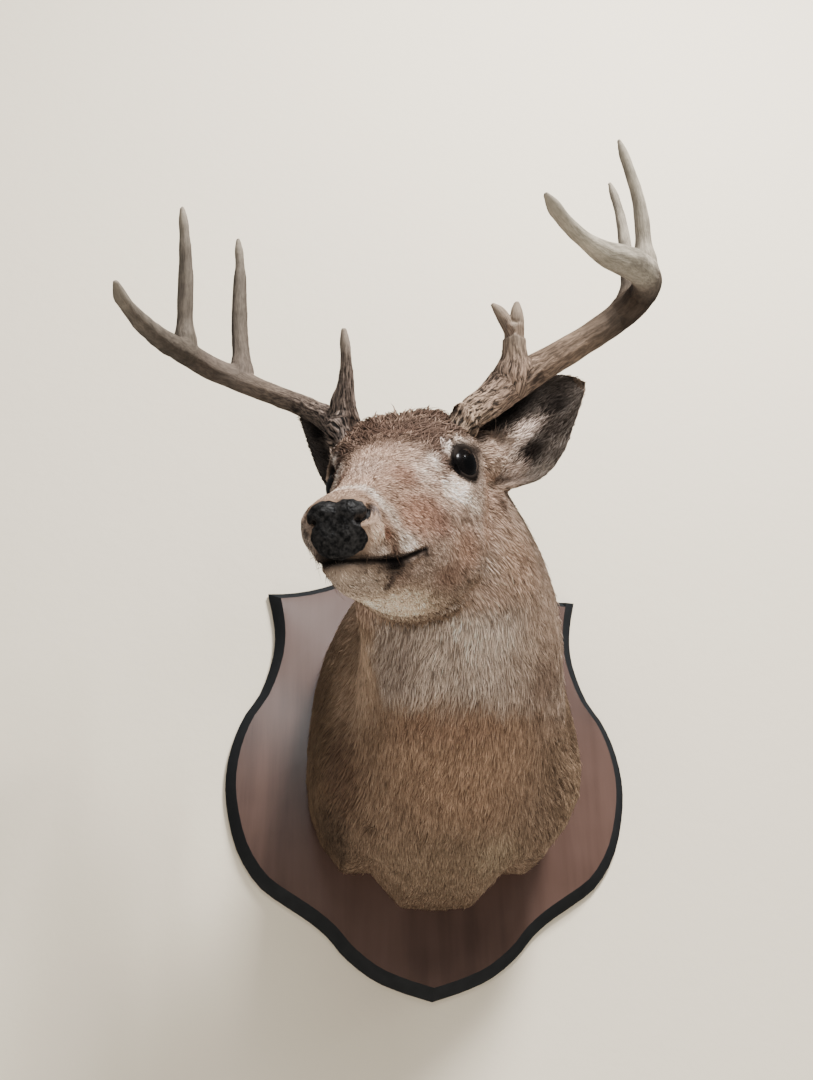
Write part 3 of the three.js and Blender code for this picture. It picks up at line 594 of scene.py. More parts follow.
# markings
# a patch: place in mm, reach, tone, strength, and whether both sides have it; later ones lie over earlier ones
# room and throat are in the frame of the room, ears along and across an ear, the rest in the frame of the head
markLook = {
    "base": "846c58", "throatTone": "b3a091", "throatTan": "a18875", "crownTone": "4f3c32",
    "crownStreaks": "8c7463", "earBack": "6a5a4e", "earInside": "453d37", "lids": "0c0908",
    # the jaw fold tone is painted shade under the fold of the jaw
    "mouthSlit": "120e0d", "jawFoldShade": "5d4737", "lipSpots": "241c19", "cheekSpots": "6e4d3f",
    # painted shade: the skin under the coat is darkened, as shade between the tufts
    "underHairShade": 0.75,  # how bright the skin is against the tips of the hair
    "room": [
        ((0, -60, 120), (140, 90, 110), "705b4a", 0.6),
        ((-5, -262, -35), (84, 80, 75), "9b7d65", 0.9),  # chest
        ((-20, -292, -6), (60, 40, 14), "876854", 0.5),
        ((10, -150, -100), (80, 80, 34), "8b745e", 0.9),  # brisket
        ((44, -168, -92), (24, 40, 16), "9a856d", 0.7),
        ((-122, -100, 10), (36, 100, 170), "64503d", 0.95),  # flank on the right of the deer
        # painted shade in the hollow between neck and shoulder
        ((-98, -178, -25), (16, 36, 60), "6a5342", 0.8),
        ((-118, -160, -50), (12, 30, 40), "6d5441", 0.5),
        ((126, -130, -10), (34, 90, 120), "917861", 0.8),
        # painted shade in the hollow between neck and shoulder
        ((90, -225, -20), (14, 40, 50), "725c48", 0.7),
        ((95, -270, 60), (60, 60, 60), "9c8270", 0.7),
        ((56, -360, 78), (34, 34, 46), "b09784", 0.8),
        ((-97, -250, 58), (16, 84, 52), "c0a289", 0.85),
        ((114, -180, 34), (16, 40, 30), "66513f", 0.8),
        ((-110, -100, -66), (24, 70, 36), "4c3c30", 0.6),
        # painted shade in the hollow between neck and shoulder
        ((-104, -170, -10), (12, 24, 34), "5c4739", 0.5),
    ],
    "throat": [
        ((-70, -328, 36), (22, 60, 44), "8b796c", 0.85),
        ((2, -352, 54), (36, 40, 18), "cdb9a9", 0.7),
        ((64, -306, 26), (18, 36, 26), "7d6656", 0.8),
    ],
    "head": [
        ((60, 0, -20), (120, 70, 80), "b1937f", 0.9),
        ((-60, 0, 30), (60, 80, 60), "917663", 0.8),
        ((34, 0, 34), (28, 36, 18), "6f594b", 0.9),  # forehead
        ((52, 6, 21), (14, 22, 9), "9a8070", 0.6),
        ((56, 34, -2), (18, 10, 12), "dcc3b2", 0.75, "both"),
        ((104, 0, 0), (38, 16, 14), "a58c7c", 0.8),  # bridge of the nose
        ((82, 24, -8), (24, 10, 10), "957361", 0.8, "both"),
        ((88, 36, -38), (34, 16, 17), "b08872", 0.85, "both"),  # reddish side of the snout
        ((70, 39, -30), (16, 10, 8), "8a6755", 0.6, "both"),
        ((56, 44, -42), (18, 12, 10), "94705f", 0.8, "both"),
        ((143, 14, -32), (10, 22, 12), "dccabb", 0.65, "both"),  # pale band behind the nose
        ((130, 28, -44), (11, 12, 12), "dac7b6", 0.5, "both"),
        ((116, 31, -61), (16, 12, 8), "e2d0c0", 0.85, "both"),
        ((165, 24, -57), (11, 10, 9), "f3d2b9", 0.92, "both"),  # beside the nostril
        ((166, 23, -45), (5, 5, 6), "6f6a6c", 0.7, "both"),
        ((148, 27, -57), (6, 6, 6), "6b4634", 0.85, "both"),
        ((136, 28, -67), (7, 6, 4), "5c3f31", 0.7, "both"),
        ((172, -22, -62), (14, 8, 14), "968a81", 0.85),
        ((24, 52, -14), (20, 14, 11), "f5dcc8", 0.88, "both"),  # white below the eye
        ((2, 62, -22), (14, 14, 7), "dac6b5", 0.7, "both"),
        ((-46, 70, -8), (22, 22, 28), "a98b76", 0.8, "both"),
        ((-62, 82, -64), (30, 24, 30), "bf9f88", 0.8, "both"),
        ((-30, 68, -40), (16, 20, 20), "b79681", 0.8, "both"),
        ((10, 54, -58), (34, 16, 20), "a6826c", 0.8, "both"),
        ((28, 44, -80), (30, 16, 12), "957461", 0.8, "both"),
        ((150, 0, -88), (44, 26, 12), "b5a08e", 0.9),  # chin
        ((108, 24, -86), (18, 10, 9), "8a7060", 0.7, "both"),
        ((60, 4, -104), (74, 40, 15), "ffe3c6", 0.97),  # pale skin under the jaw
        ((156, 24, -69), (13, 10, 5), "dcc5b4", 0.8, "both"),
        ((-48, 56, -92), (30, 24, 20), "b49682", 0.7, "both"),
        ((119, 20, -89), (6, 9, 7), "33241e", 0.9, "both"),
        ((127, 25, -76.5), (19, 14, 7.5), "0c0908", 0.98, "both"),
        ((180, -6, -74), (14, 18, 7), "2b2522", 0.9),  # dark hair under the nose
        ((80, 37, -66), (7, 8, 4), "3a2a22", 0.75, "both"),  # corner of the mouth
        # painted shadow between the antler and the root of the ear
        ((-54, 63, 50), (11, 6, 4.5), "16110e", 0.9, "both"),
        ((-50, 66, -2), (12, 12, 13), "c6a793", 0.75, "both"),
        ((-60, 72, -14), (8, 9, 9), "5c483c", 0.85, "both"),
    ],
    "lid": [  # these lie over the dark crown
        ((38, 39, 8), (8, 9, 8), "ead5c5", 0.85, "both"),
        ((-54, 74, 24), (14, 12, 18), "c9ae9b", 0.8, "both"),
        ((-20, 32, 56), (12, 10, 8), "4a382e", 0.7),
        ((15, 47, 21), (9, 8, 6), "ead6c8", 0.9, "both"),  # pale brow
        ((1, 53, 29), (12, 8, 4.5), "e0cab9", 0.85, "both"),
        # painted shadow under the antler beam: a dark line from above the eye to the ear
        ((-20, 62, 24), (9, 8, 6), "2a201b", 0.85, "both"),
        ((-38, 63, 39), (15, 9, 7), "1c1512", 0.92, "both"),
        ((28, 51, -11), (17, 14, 9.5), "ffe9d8", 0.95, "both"),  # white below the eye
        ((25, 46, 6), (6, 8, 6), "69544a", 0.85, "both"),
        ((33, 46, -2), (3.4, 7, 8), "5a463c", 0.85, "both"),
        ((18, 49, 7), (6, 7, 5), "241a16", 0.9, "both"),
        ((15, -51, -3), (9, 9, 8), "1b1512", 0.9),  # lower lid of the right eye
    ],
    "earRoots": [((-66, 81, 34), (15, 13, 10), "c9af9c", 0.8, "both")],  # front of the ear
    "ears": [
        ((66, 8), (28, 8), "c8b1a2", 0.9),
        ((30, 10), (30, 15), "d2b8a5", 0.92),
        # dark cup and opening of the ear: partly darker hair, partly painted shade of the hollow
        ((67, 28), (15, 9), "15100e", 0.96),
        ((96, 20), (16, 7), "352d28", 0.7),
        ((36, 32), (18, 12), "bda492", 0.9),
        ((56, 45), (20, 7), "8f8174", 0.85),
        ((84, 38), (18, 8), "665b52", 0.7),
        # painted shadow of the antler beam along the top of the ear, from its root to near its tip
        ((72, -14), (36, 10), "0c0908", 0.96),
        ((20, -10), (24, 7), "0c0908", 0.95),
        ((118, -6), (18, 8), "241e1a", 0.85),
        ((114, 4), (15, 8), "1c1714", 0.95),
    ],
}


def toneArray(tone):
    return np.array(hexColour(tone)[:3])


def blendTone(colour, tone, share):
    return colour + (toneArray(tone) - colour) * np.clip(share, 0, 1)[:, None]


def paintPatches(colour, places, patches):
    for at, reach, tone, share, *both in patches:
        for turn in ((1, -1) if both else (1,)):
            off = (places - np.array(at, float) * (1, turn, 1)[:places.shape[1]]) / np.array(reach, float)
            colour = blendTone(colour, tone, share * np.exp(-((off ** 2).sum(axis=1)) ** 1.7))
    return colour


def markings(points, normals):  # colour of the coat and the skin at any place on them
    look = markLook
    q = toHead(points)
    p = points / mm
    colour = np.tile(toneArray(look["base"]), (len(points), 1))
    colour = paintPatches(colour, p, look["room"])

    # pale throat with a ragged lower edge, tan towards the left of the deer
    edge = 5 + 0.0026 * (p[:, 0] + 6) ** 2 + 5 * wander(points, 13 * mm, 41) + 3 * wander(points, 5 * mm, 42)
    throat = smoothStep(edge - 11, edge + 13, p[:, 2]) * smoothStep(-190, -225, p[:, 1])
    throat *= smoothStep(-0.05, -0.4, normals[:, 1])
    throat *= smoothStep(-94, -72, p[:, 0] + 5 * wander(points, 9 * mm, 43))
    throat *= smoothStep(112, 66, p[:, 0] - 0.5 * p[:, 2])
    colour = blendTone(colour, look["throatTone"], throat * 0.92)
    tan = throat * smoothStep(8, 56, p[:, 0] + 0.25 * (p[:, 2] - 40) + 9 * wander(points, 16 * mm, 44))
    colour = blendTone(colour, look["throatTan"], tan * 0.85)
    colour += (paintPatches(colour, p, look["throat"]) - colour) * throat[:, None]

    # head, with its dark crown
    onHead = smoothStep(-110, -60, q[:, 0]) * smoothStep(-116, -104, q[:, 2] + 0.15 * np.minimum(q[:, 0], 0))
    colour += (paintPatches(colour, q, look["head"]) - colour) * onHead[:, None]
    ruffle = wander(points, 7 * mm, 47) + 0.6 * wander(points, 3 * mm, 48)
    crown = smoothStep(50, 16, q[:, 0] + 8 * ruffle - 0.22 * np.abs(q[:, 1]))
    crown *= smoothStep(6, 22, q[:, 2] + 0.3 * q[:, 0])
    crown *= smoothStep(-80, -50, q[:, 0]) * smoothStep(62, 52, np.abs(q[:, 1]))
    colour = blendTone(colour, look["crownTone"], crown * 0.92)
    colour = blendTone(colour, look["crownStreaks"], crown * smoothStep(0.15, 0.8, ruffle) * 0.8)
    colour += (paintPatches(colour, q, look["lid"]) - colour) * onHead[:, None]

    for ear in ears.values():  # brown backs, dark cups with pale hair
        off, along, aside = earPlace(q, ear)
        facing = unit(np.array(ear["facing"]) - ear["axis"] * (np.array(ear["facing"]) @ ear["axis"]))
        across = off @ np.cross(ear["axis"], facing) * (1 if ear["base"][1] > 0 else -1)
        share = smoothStep(12, 32, along) * smoothStep(75, 60, aside)
        inner = share * smoothStep(-0.15, 0.25, normals @ headAxes.T @ facing)
        colour = blendTone(colour, look["earBack"], share * 0.9)
        inside = np.tile(toneArray(look["earInside"]), (len(points), 1))
        # the inside of the ear carries painted shadow of the antler and painted shade in its cup
        inside = paintPatches(inside, np.stack([along, across], axis=1), look["ears"])
        colour = colour + (inside - colour) * inner[:, None]
    colour = paintPatches(colour, q, look["earRoots"])

    for side in eyeSpots:  # dark bare lids, which run out into the tear duct
        x, y, z, g = eyePlace(q, side)
        rim = smoothStep(1.74 - 0.14 * np.tanh(x / 8) - 0.08 * np.tanh(y / 8), 1.25, g) * (np.abs(x) < 40)
        corner = np.exp(-((x - 19) / 6) ** 2 - ((y + 2) / 5) ** 2) * (z > -8)
        corner = corner * (0.75 + 0.4 * wander(points, 2.5 * mm, 45))
        colour = blendTone(colour, look["lids"], rim * 0.95 + corner)

    # mouth line, painted shade along the fold under the jaw, dark spots on the right lip and on the cheeks
    slit = np.exp(-((q[:, 2] - mouthHeight(q[:, 0])) / (3.5 + 1.2 * wander(points, 5 * mm, 50))) ** 2)
    colour = blendTone(colour, look["mouthSlit"], slit * smoothStep(70, 79, q[:, 0]) * 0.97)
    colour = blendTone(colour, look["jawFoldShade"], 0.8 * np.exp(-(lineGap(q, creases["jaw"]) / 2.2) ** 2))
    lip = np.exp(-((q[:, 0] - 172) / 14) ** 2 - ((q[:, 1] + 23) / 7) ** 2 - ((q[:, 2] + 60) / 15) ** 2)
    colour = blendTone(colour, look["lipSpots"], lip * smoothStep(0.25, 0.55, wander(points, 2.6 * mm, 49)))
    spots = smoothStep(0.35, 0.75, wander(points, 3.2 * mm, 46))
    spots = spots * smoothStep(140, 100, q[:, 0]) * smoothStep(20, 50, q[:, 0])
    spots = spots * 0.35 * smoothStep(-62, -50, q[:, 2]) * smoothStep(10, -10, q[:, 2])
    return np.clip(blendTone(colour, look["cheekSpots"], spots), 0, 1)


def writeTone(mesh, colour):
    tone = mesh.color_attributes.new(name="tone", type="FLOAT_COLOR", domain="POINT")
    full = np.concatenate([colour, np.ones((len(colour), 1))], axis=1).astype(np.float32)
    tone.data.foreach_set("color", full.ravel())


def coatMaterial(name, roughness, bumpScale, bumpDepth):  # dry deer hair: matt, with a fine uneven nap
    material, tree = newMaterial(name)
    tone = addNode(tree, "Attribute", {"attribute_name": "tone"})
    place = {"Vector": addNode(tree, "TexCoord").outputs["Object"]}
    fine = addNode(tree, "TexNoise", {"Scale": bumpScale, "Detail": 3.0}, place)
    shade = addNode(tree, "MapRange", {"To Min": 0.82, "To Max": 1.18}, {"Value": fine})
    tint = addNode(tree, "Mix", tintMix, {6: tone.outputs["Color"], 7: shade})
    bump = addNode(tree, "Bump", {"Strength": 0.5, "Distance": bumpDepth * mm}, {"Height": fine})
    hair = addNode(tree, "BsdfPrincipled", {"Roughness": roughness, "Specular IOR Level": 0.3, "IOR": 1.55},
                   {"Base Color": tint.outputs[2], "Normal": bump})
    addNode(tree, "OutputMaterial", None, {"Surface": hair})
    return material


points = readPoints(skin.data)
# the skin is darkened as painted shade under the coat
writeTone(skin.data, markings(points, readNormals(skin.data)) * markLook["underHairShade"])
skin.data.materials.append(coatMaterial("shortDeerHair", 0.8, 700.0, 0.6))  # nap of 1.4 mm
pickOnly(skin)
bpy.ops.object.shade_smooth()
editAll(bpy.ops.uv.smart_project, angle_limit=math.radians(70), island_margin=0.002)
skin.data.uv_layers.active.name = "OFBake"
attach(skin, "root")
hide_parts(*fleshNodes)
print("skin painted")

# eyes
eyeLook = {
    "segments": 64, "rings": 32,  # stops: white, rim, iris, pupil, from the back of the ball to its front
    "stops": [(0.60, "3a2a22"), (0.66, "060404"), (0.72, "0b0807"), (0.84, "0b0807"), (0.88, "020202")],
}


def eyeMaterial():  # glass eye painted from behind: near black, under a clear polished coat
    material, tree = newMaterial("paintedGlassEye")
    uv = addNode(tree, "UVMap", {"uv_map": "UVMap"})
    parts = addNode(tree, "SeparateXYZ", None, {0: uv})
    ramp = addNode(tree, "ValToRGB", {"stops": eyeLook["stops"]}, {0: parts.outputs[1]})
    glass = addNode(tree, "BsdfPrincipled",
                    {"Roughness": 0.25, "IOR": 1.5, "Coat Weight": 1.0, "Coat Roughness": 0.02, "Coat IOR": 1.52},
                    {"Base Color": ramp})
    addNode(tree, "OutputMaterial", None, {"Surface": glass})
    return material


glassEye = eyeMaterial()
for side, spot in eyeSpots.items():
    bpy.ops.mesh.primitive_uv_sphere_add(segments=eyeLook["segments"], ring_count=eyeLook["rings"],
                                         radius=eyeRadius * mm)
    eye = bpy.context.object
    eye.name = "glassEye" + side.title()
    aim = Vector(unit(np.array(eyeAims[side])) @ headAxes)
    eye.data.transform(Matrix.Translation(fromHead(spot)) @ aim.to_track_quat("Z", "Y").to_matrix().to_4x4())
    eye.data.materials.append(glassEye)
    bpy.ops.object.shade_smooth()
    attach(eye, "root")
    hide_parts("eye_" + side)
print("eyes set")

# nose
noseLook = {
    "stops": [(0.4, "0f0e0e"), (0.68, "3b3938")],
    "behind": 167.5, "proud": 0.35, "pebble": 0.22, "ragged": 0.5, "margin": 1.2,
    "side": [  # half of the edge of the black skin from the front, from the dip down to the lip
        (0, -38.2), (5, -36.4), (11, -36.8), (16.6, -39.2), (19.6, -43), (20.6, -48), (19.4, -51), (17.8, -50.6),
        (16.2, -51.5), (15.4, -53.2), (16, -55.4), (17.8, -58), (18.8, -61), (18, -65), (15.6, -68.5), (12, -72),
        (8, -74), (0, -76),
    ],
}  # all in mm


def noseShare(q):  # above 0 on the black skin, in mm inside its edge
    x, y = np.abs(q[:, 1] - noseMiddle), q[:, 2]
    gap = lineGap(np.stack([x, y], axis=1), noseLook["side"])
    inside = np.zeros(len(q), bool)
    for (x0, y0), (x1, y1) in zip(noseLook["side"][:-1], noseLook["side"][1:]):
        inside ^= ((y0 > y) != (y1 > y)) & (x < x0 + (y - y0) * (x1 - x0) / (y1 - y0))
    share = np.minimum(np.where(inside, gap, -gap), q[:, 0] - noseLook["behind"])
    return share + noseLook["ragged"] * wander(q, 2.6, 61)


nose = bpy.data.objects.new("nose", skin.data.copy())
nose.data.name = "nose"
scene.collection.objects.link(nose)
pickOnly(nose)
q = toHead(readPoints(nose.data))
inside = noseShare(q) > -noseLook["margin"]
build = bmesh.new()
build.from_mesh(nose.data)
build.verts.ensure_lookup_table()
bmesh.ops.delete(build, geom=[v for v, keep in zip(build.verts, inside) if not keep], context="VERTS")
build.to_mesh(nose.data)
build.free()
for colours in list(nose.data.color_attributes):
    nose.data.color_attributes.remove(colours)
points = readPoints(nose.data)
share = noseShare(toHead(points))
raised = noseLook["proud"] * smoothStep(-noseLook["margin"], 1.0, share) * 2 - noseLook["proud"]
raised += noseLook["pebble"] * wander(points, 1.7 * mm, 5) * smoothStep(0, 2, share)
writePoints(nose.data, points + readNormals(nose.data) * raised[:, None] * mm)


def noseMaterial():  # dry pebbled skin: black, with a dull sheen and a little dust in its grain
    material, tree = newMaterial("blackNoseSkin")
    place = {"Vector": addNode(tree, "TexCoord").outputs["Object"]}
    cells = addNode(tree, "TexVoronoi", {"Scale": 620.0, "feature": "SMOOTH_F1"}, place)  # pebbles of 1.6 mm
    cloud = addNode(tree, "TexNoise", {"Scale": 300.0, "Detail": 6.0, "Roughness": 0.65}, place)
    ramp = addNode(tree, "ValToRGB", {"stops": noseLook["stops"]}, {0: cloud})
    bump = addNode(tree, "Bump", {"Strength": 0.5, "Distance": 0.0008, "invert": True}, {"Height": cells})
    black = addNode(tree, "BsdfPrincipled", {"Roughness": 0.43, "Specular IOR Level": 0.5, "IOR": 1.5},
                    {"Base Color": ramp, "Normal": bump})
    addNode(tree, "OutputMaterial", None, {"Surface": black})
    return material


nose.data.materials.clear()
nose.data.materials.append(noseMaterial())
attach(nose, "root")
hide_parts("nose_pad")
print("nose set")

# antlers
antlerLook = {
    "runs": [0, 60, 140, 180, 222, 262, 290, 380],  # tones by distance from the head in mm
    # the dark tones at 180 and 222 mm on the left beam are painted shade under its bend
    "left": ["a58d78", "9b8270", "846f5d", "5f5145", "463b32", "7d7164", "aca190", "aea492"],
    "right": ["85756b", "7e6e63", "78695c", "73665b", "6c6056", "685e53", "6a6055", "7a7064"],
    "groove": "33271f", "tip": "a89d8c", "patches": [((-28, 39, 63), (12, 11, 13), "4b3c32", 0.85, "both")],
    "closeSeams": 0.3, "voxel": 1.2, "grooves": 1.0, "blunt": 1.3, "burr": 15.5, "pearls": 0.55, "roughUpTo": 190,
    "forks": 2.6, "sag": 4.5,
    "webs": {  # broad joints of the brow tines with the beams
        "left": [((-61, 79, 92), (18, 16, 15), 5.5), ((-28, 40, 66), (15, 12, 12), -7),
                 ((84, 172, 142), (46, 22, 20), -3.0)],
        "right": [((-38, -60, 84), (12, 9, 10), 5)],
    },
}
branches = {  # where each branch starts, in mm up the antler, and its middle line in the frame of the head
    "left": [
        (0, [(-30, 45, 40), (-36, 50, 54), (-56, 72, 71), (-77, 108, 98), (-94, 149, 122), (-98, 184, 142),
             (-76, 205, 153), (-38, 208, 153), (14, 199, 148), (58, 181, 146), (96, 163, 151), (123, 152, 161),
             (130, 149, 166)]),
        (60, [(-65, 90, 84), (-62, 93, 103), (-59, 95, 122), (-57, 96, 134)]),
        (110, [(-57, 93, 128), (-55, 88, 141), (-55, 84, 148), (-55, 79, 154)]),
        (110, [(-58, 98, 128), (-58, 99, 138), (-59, 99, 146), (-59, 100, 154)]),
        (210, [(-97, 187, 140), (-107, 192, 168), (-118, 192, 207), (-126, 189, 246), (-130, 183, 274)]),
        (280, [(-36, 207, 155), (-36, 209, 186), (-35, 208, 217), (-33, 202, 246), (-31, 197, 268)]),
    ],
    "right": [
        (0, [(-30, -45, 40), (-35, -53, 55), (-55, -72, 73), (-81, -103, 94), (-99, -141, 115), (-104, -172, 132),
             (-83, -192, 142), (-44, -197, 146), (8, -192, 142), (56, -183, 138), (100, -174, 136), (131, -170, 142),
             (140, -168, 149)]),
        (20, [(-46, -53, 58), (-35, -49, 81), (-29, -45, 109), (-23, -43, 141)]),
        (210, [(-104, -167, 130), (-113, -171, 157), (-121, -174, 196), (-127, -173, 240), (-127, -173, 278)]),
        (280, [(-44, -197, 143), (-44, -196, 175), (-41, -192, 209), (-35, -188, 244), (-30, -187, 275)]),
    ],
}


def jointShare(q, lines):  # 1 in the corner between the beam and a tine
    share = np.zeros(len(q))
    toBeam = lineGap(q, lines[0][1])
    for _, line in lines[1:]:
        pts = np.array(line, float)
        pts[0] = (pts[0] + pts[1]) / 2
        share = np.maximum(share, np.exp(-((toBeam - 14) / 8) ** 2 - ((lineGap(q, pts) - 8.5) / 6) ** 2))
    return share


def alongBranches(q, lines):  # distance up the antler, what is left of the branch, its direction, offset from it
    bestGap = np.full(len(q), 1e9)
    run, left = np.zeros((2, len(q)))
    way, offset = np.zeros((2, len(q), 3))
    for begin, line in lines:
        pts = np.array(line, float)
        lengths = np.linalg.norm(np.diff(pts, axis=0), axis=1)
        starts = begin + np.concatenate([[0], np.cumsum(lengths)[:-1]])
        whole = lengths.sum() + begin
        for a, b, length, start in zip(pts[:-1], pts[1:], lengths, starts):
            t = np.clip((q - a) @ (b - a) / length ** 2, 0, 1)
            near = a + t[:, None] * (b - a)
            gap = np.linalg.norm(q - near, axis=1)
            closer = gap < bestGap
            bestGap = np.where(closer, gap, bestGap)
            run = np.where(closer, start + t * length, run)
            left = np.where(closer, whole - start - t * length, left)
            way = np.where(closer[:, None], (b - a) / length, way)
            offset = np.where(closer[:, None], q - near, offset)
    return run, left, way, offset


def antlerMaterial():  # dry bone: cracks along the beam, deep and dark near the burr and faint at the tips
    material, tree = newMaterial("antlerBone")
    tone = addNode(tree, "Attribute", {"attribute_name": "tone"})
    grain = addNode(tree, "Attribute", {"attribute_name": "grain"})
    crust = addNode(tree, "Attribute", {"attribute_name": "crust"})
    place = {"Vector": addNode(tree, "TexCoord").outputs["Object"]}
    cracks = addNode(tree, "TexNoise", {"Scale": 1.5, "Detail": 4.0, "Roughness": 0.62, "Distortion": 0.6},
                     {"Vector": grain.outputs["Vector"]})  # about 2 mm wide and 8 mm long
    dark = addNode(tree, "MapRange", {"From Min": 0.42, "From Max": 0.59, "To Min": 0.05, "To Max": 1.42},
                   {"Value": cracks})
    strength = addNode(tree, "MapRange", {"To Min": 0.12, "To Max": 1.0}, {"Value": crust.outputs["Fac"]})
    cloud = addNode(tree, "TexNoise", {"Scale": 60.0, "Detail": 6.0, "Roughness": 0.6}, place)  # stains of 17 mm
    shade = addNode(tree, "MapRange", {"From Min": 0.3, "From Max": 0.7, "To Min": 0.72, "To Max": 1.2},
                    {"Value": cloud})
    tint = addNode(tree, "Mix", tintMix, {6: tone.outputs["Color"], 7: shade})
    cracked = addNode(tree, "Mix", tintMix, {0: strength, 6: tint.outputs[2], 7: dark})
    height = addNode(tree, "Math", {"operation": "MULTIPLY"}, {0: cracks, 1: strength})
    bump = addNode(tree, "Bump", {"Strength": 0.8, "Distance": 0.0028}, {"Height": height})
    bone = addNode(tree, "BsdfPrincipled", {"Roughness": 0.58, "IOR": 1.54, "Specular IOR Level": 0.4},
                   {"Base Color": cracked.outputs[2], "Normal": bump})
    addNode(tree, "OutputMaterial", None, {"Surface": bone})
    return material


boneMaterial = antlerMaterial()
for side, lines in branches.items():
    nodes = [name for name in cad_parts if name.startswith("antler_" + side)]
    antler = copyNodes(nodes, "antler" + side.title())
    points = readPoints(antler.data) + readNormals(antler.data) * antlerLook["closeSeams"] * mm
    writePoints(antler.data, points)
    applyModifier(antler, "REMESH", mode="VOXEL", voxel_size=antlerLook["voxel"] * mm)
    applyModifier(antler, "SMOOTH", factor=0.6, iterations=7)
    points = readPoints(antler.data)
    share = jointShare(toHead(points), lines)
    writePoints(antler.data, points + readNormals(antler.data) * (antlerLook["forks"] * share)[:, None] * mm)
    applyWhere(antler, share, (0.25, 0.5, 0.75, 1.0), 0.125, "SMOOTH", factor=0.7, iterations=20)

    points = readPoints(antler.data)
    normals = readNormals(antler.data)
    q = toHead(points)
    run, left, way, offset = alongBranches(q, lines)
    rough = smoothStep(antlerLook["roughUpTo"], 20, run) * 0.85 + 0.15
    guide = np.array([0.5, 0.8 if side == "left" else -0.8, -0.35])
    first = unit(guide - way * (way @ guide)[:, None])
    second = np.cross(way, first)
    around = unit(offset)
    twist = np.arctan2((around * second).sum(axis=1), (around * first).sum(axis=1))
    twist = twist + 0.12 * wander(points, 11 * mm, 4)
    ringed = np.stack([np.cos(twist), np.sin(twist)], axis=1)
    grooves = 0.45 * wander(np.column_stack([ringed * 3.0, run / 20]), 1.0, 3)  # broad ones, then fine ones
    grooves += 0.65 * wander(np.column_stack([ringed * 6.5, run / 12]), 1.0, 7)
    cut = -np.clip(-grooves * 2.2, 0, 1)
    pearls = np.clip(wander(points, 2.4 * mm, 11) - 0.1, 0, 1) * smoothStep(110, 14, run) * (run > 8)
    if side == "left":  # the end of this beam sags before it turns up
        sag = np.exp(-(((q - (66, 181, 142)) / (46, 26, 22)) ** 2).sum(axis=1))
        points[:, 2] -= antlerLook["sag"] * mm * sag
    lift = antlerLook["grooves"] * cut * rough + antlerLook["pearls"] * pearls + 0.1 * grooves
    lift = (lift + 0.5 * wander(points, 16 * mm, 9)) * smoothStep(0, 25, left)
    bulge = np.clip(np.linalg.norm(offset, axis=1) - antlerLook["burr"], 0, None) * smoothStep(34, 24, run)
    points = points - (around @ headAxes) * (bulge * 0.85)[:, None] * mm
    ring = np.exp(-((run - 14) / 5) ** 2)  # the burr
    lift += ring * 0.7 * wander(points, 3.0 * mm, 2) + formLift(q, antlerLook["webs"][side])
    lift += antlerLook["blunt"] * np.exp(-((left - 12) / 11) ** 2)
    writePoints(antler.data, points + normals * lift[:, None] * mm)

    # tones along the antler, with painted shade under the bend of the left beam
    steps = np.array([toneArray(tone) for tone in antlerLook[side]])
    colour = np.stack([np.interp(run, antlerLook["runs"], steps[:, k]) for k in range(3)], axis=1)
    colour = paintPatches(colour, q, antlerLook["patches"])
    colour = blendTone(colour, antlerLook["tip"], smoothStep(40, 4, left) * 0.4)
    depth = np.clip(-cut * 1.2, 0, 1) ** 1.5 * (0.05 + 0.6 * rough) * smoothStep(5, 60, left)
    colour = blendTone(colour, antlerLook["groove"], depth)
    writeTone(antler.data, colour * (1 + 0.45 * pearls)[:, None])
    grain = antler.data.attributes.new(name="grain", type="FLOAT_VECTOR", domain="POINT")
    grain.data.foreach_set("vector", np.column_stack([ringed * 5, run / 12]).astype(np.float32).ravel())
    crust = antler.data.attributes.new(name="crust", type="FLOAT", domain="POINT")
    crust.data.foreach_set("value", (rough * smoothStep(0, 30, left)).astype(np.float32))
    antler.data.materials.append(boneMaterial)
    pickOnly(antler)
    bpy.ops.object.shade_smooth()
    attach(antler, "root")
    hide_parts(*nodes)
    print("antler ready", side, len(antler.data.polygons))

# coat
coatLook = {
    "body": {"gap": 1.78, "length": (10, 18), "width": 0.85, "shade": 1.3, "gather": 0.45, "clumpVary": 0.1},
    "earGap": 1.7, "clump": 10, "perClump": 7, "strays": 0.03, "sink": 0.4,
    "eyeMargin": 1.22, "noseMargin": 0.5, "mouthMargin": 1.6,  # bare skin left round the eyes, nose and mouth
    "patch": 0.003,  # size of a tuft in the UV map
    "spread": [(-1, 0), (1, 0), (0, 0.3), (-1, 0.5), (1, 0.5), (0, 0.6), (0, 1)],  # its points there
    # the ramp is painted shade and light: dark root and sides, lighter top; the pale tip is partly the hair's own
    # colour, partly painted light
    "ramp": [0.5, 0.5, 0.62, 0.74, 0.74, 1.12, 1.34],  # brightness of its points, from root to tip
    "faces": [(0, 2, 1), (0, 1, 4), (0, 4, 3), (1, 2, 5), (1, 5, 4), (2, 0, 3), (2, 3, 5), (3, 4, 6), (4, 5, 6),
              (5, 3, 6)],
}
rng = np.random.default_rng(7)
skin.data.calc_loop_triangles()
corners = readArray(skin.data.loop_triangles, "vertices", kind=np.int32)
loops = readArray(skin.data.loop_triangles, "loops", kind=np.int32)
skinUv = readArray(skin.data.uv_layers["OFBake"].uv, "vector", width=2).astype(float)
skinPoints = readPoints(skin.data)
skinNormals = readNormals(skin.data)
a, b, c = (skinPoints[corners[:, k]] for k in range(3))
area = np.linalg.norm(np.cross(b - a, c - a), axis=1) / 2
middles = (a + b + c) / 3
qMiddles = toHead(middles)


def nearest(points):  # gives a function that finds the nearest of these points to each of some places
    tree = KDTree(len(points))
    for index, point in enumerate(points):
        tree.insert(point, index)
    tree.balance()
    return lambda places: np.array([tree.find(place)[1] for place in places])


nearSkin = nearest(skinPoints)


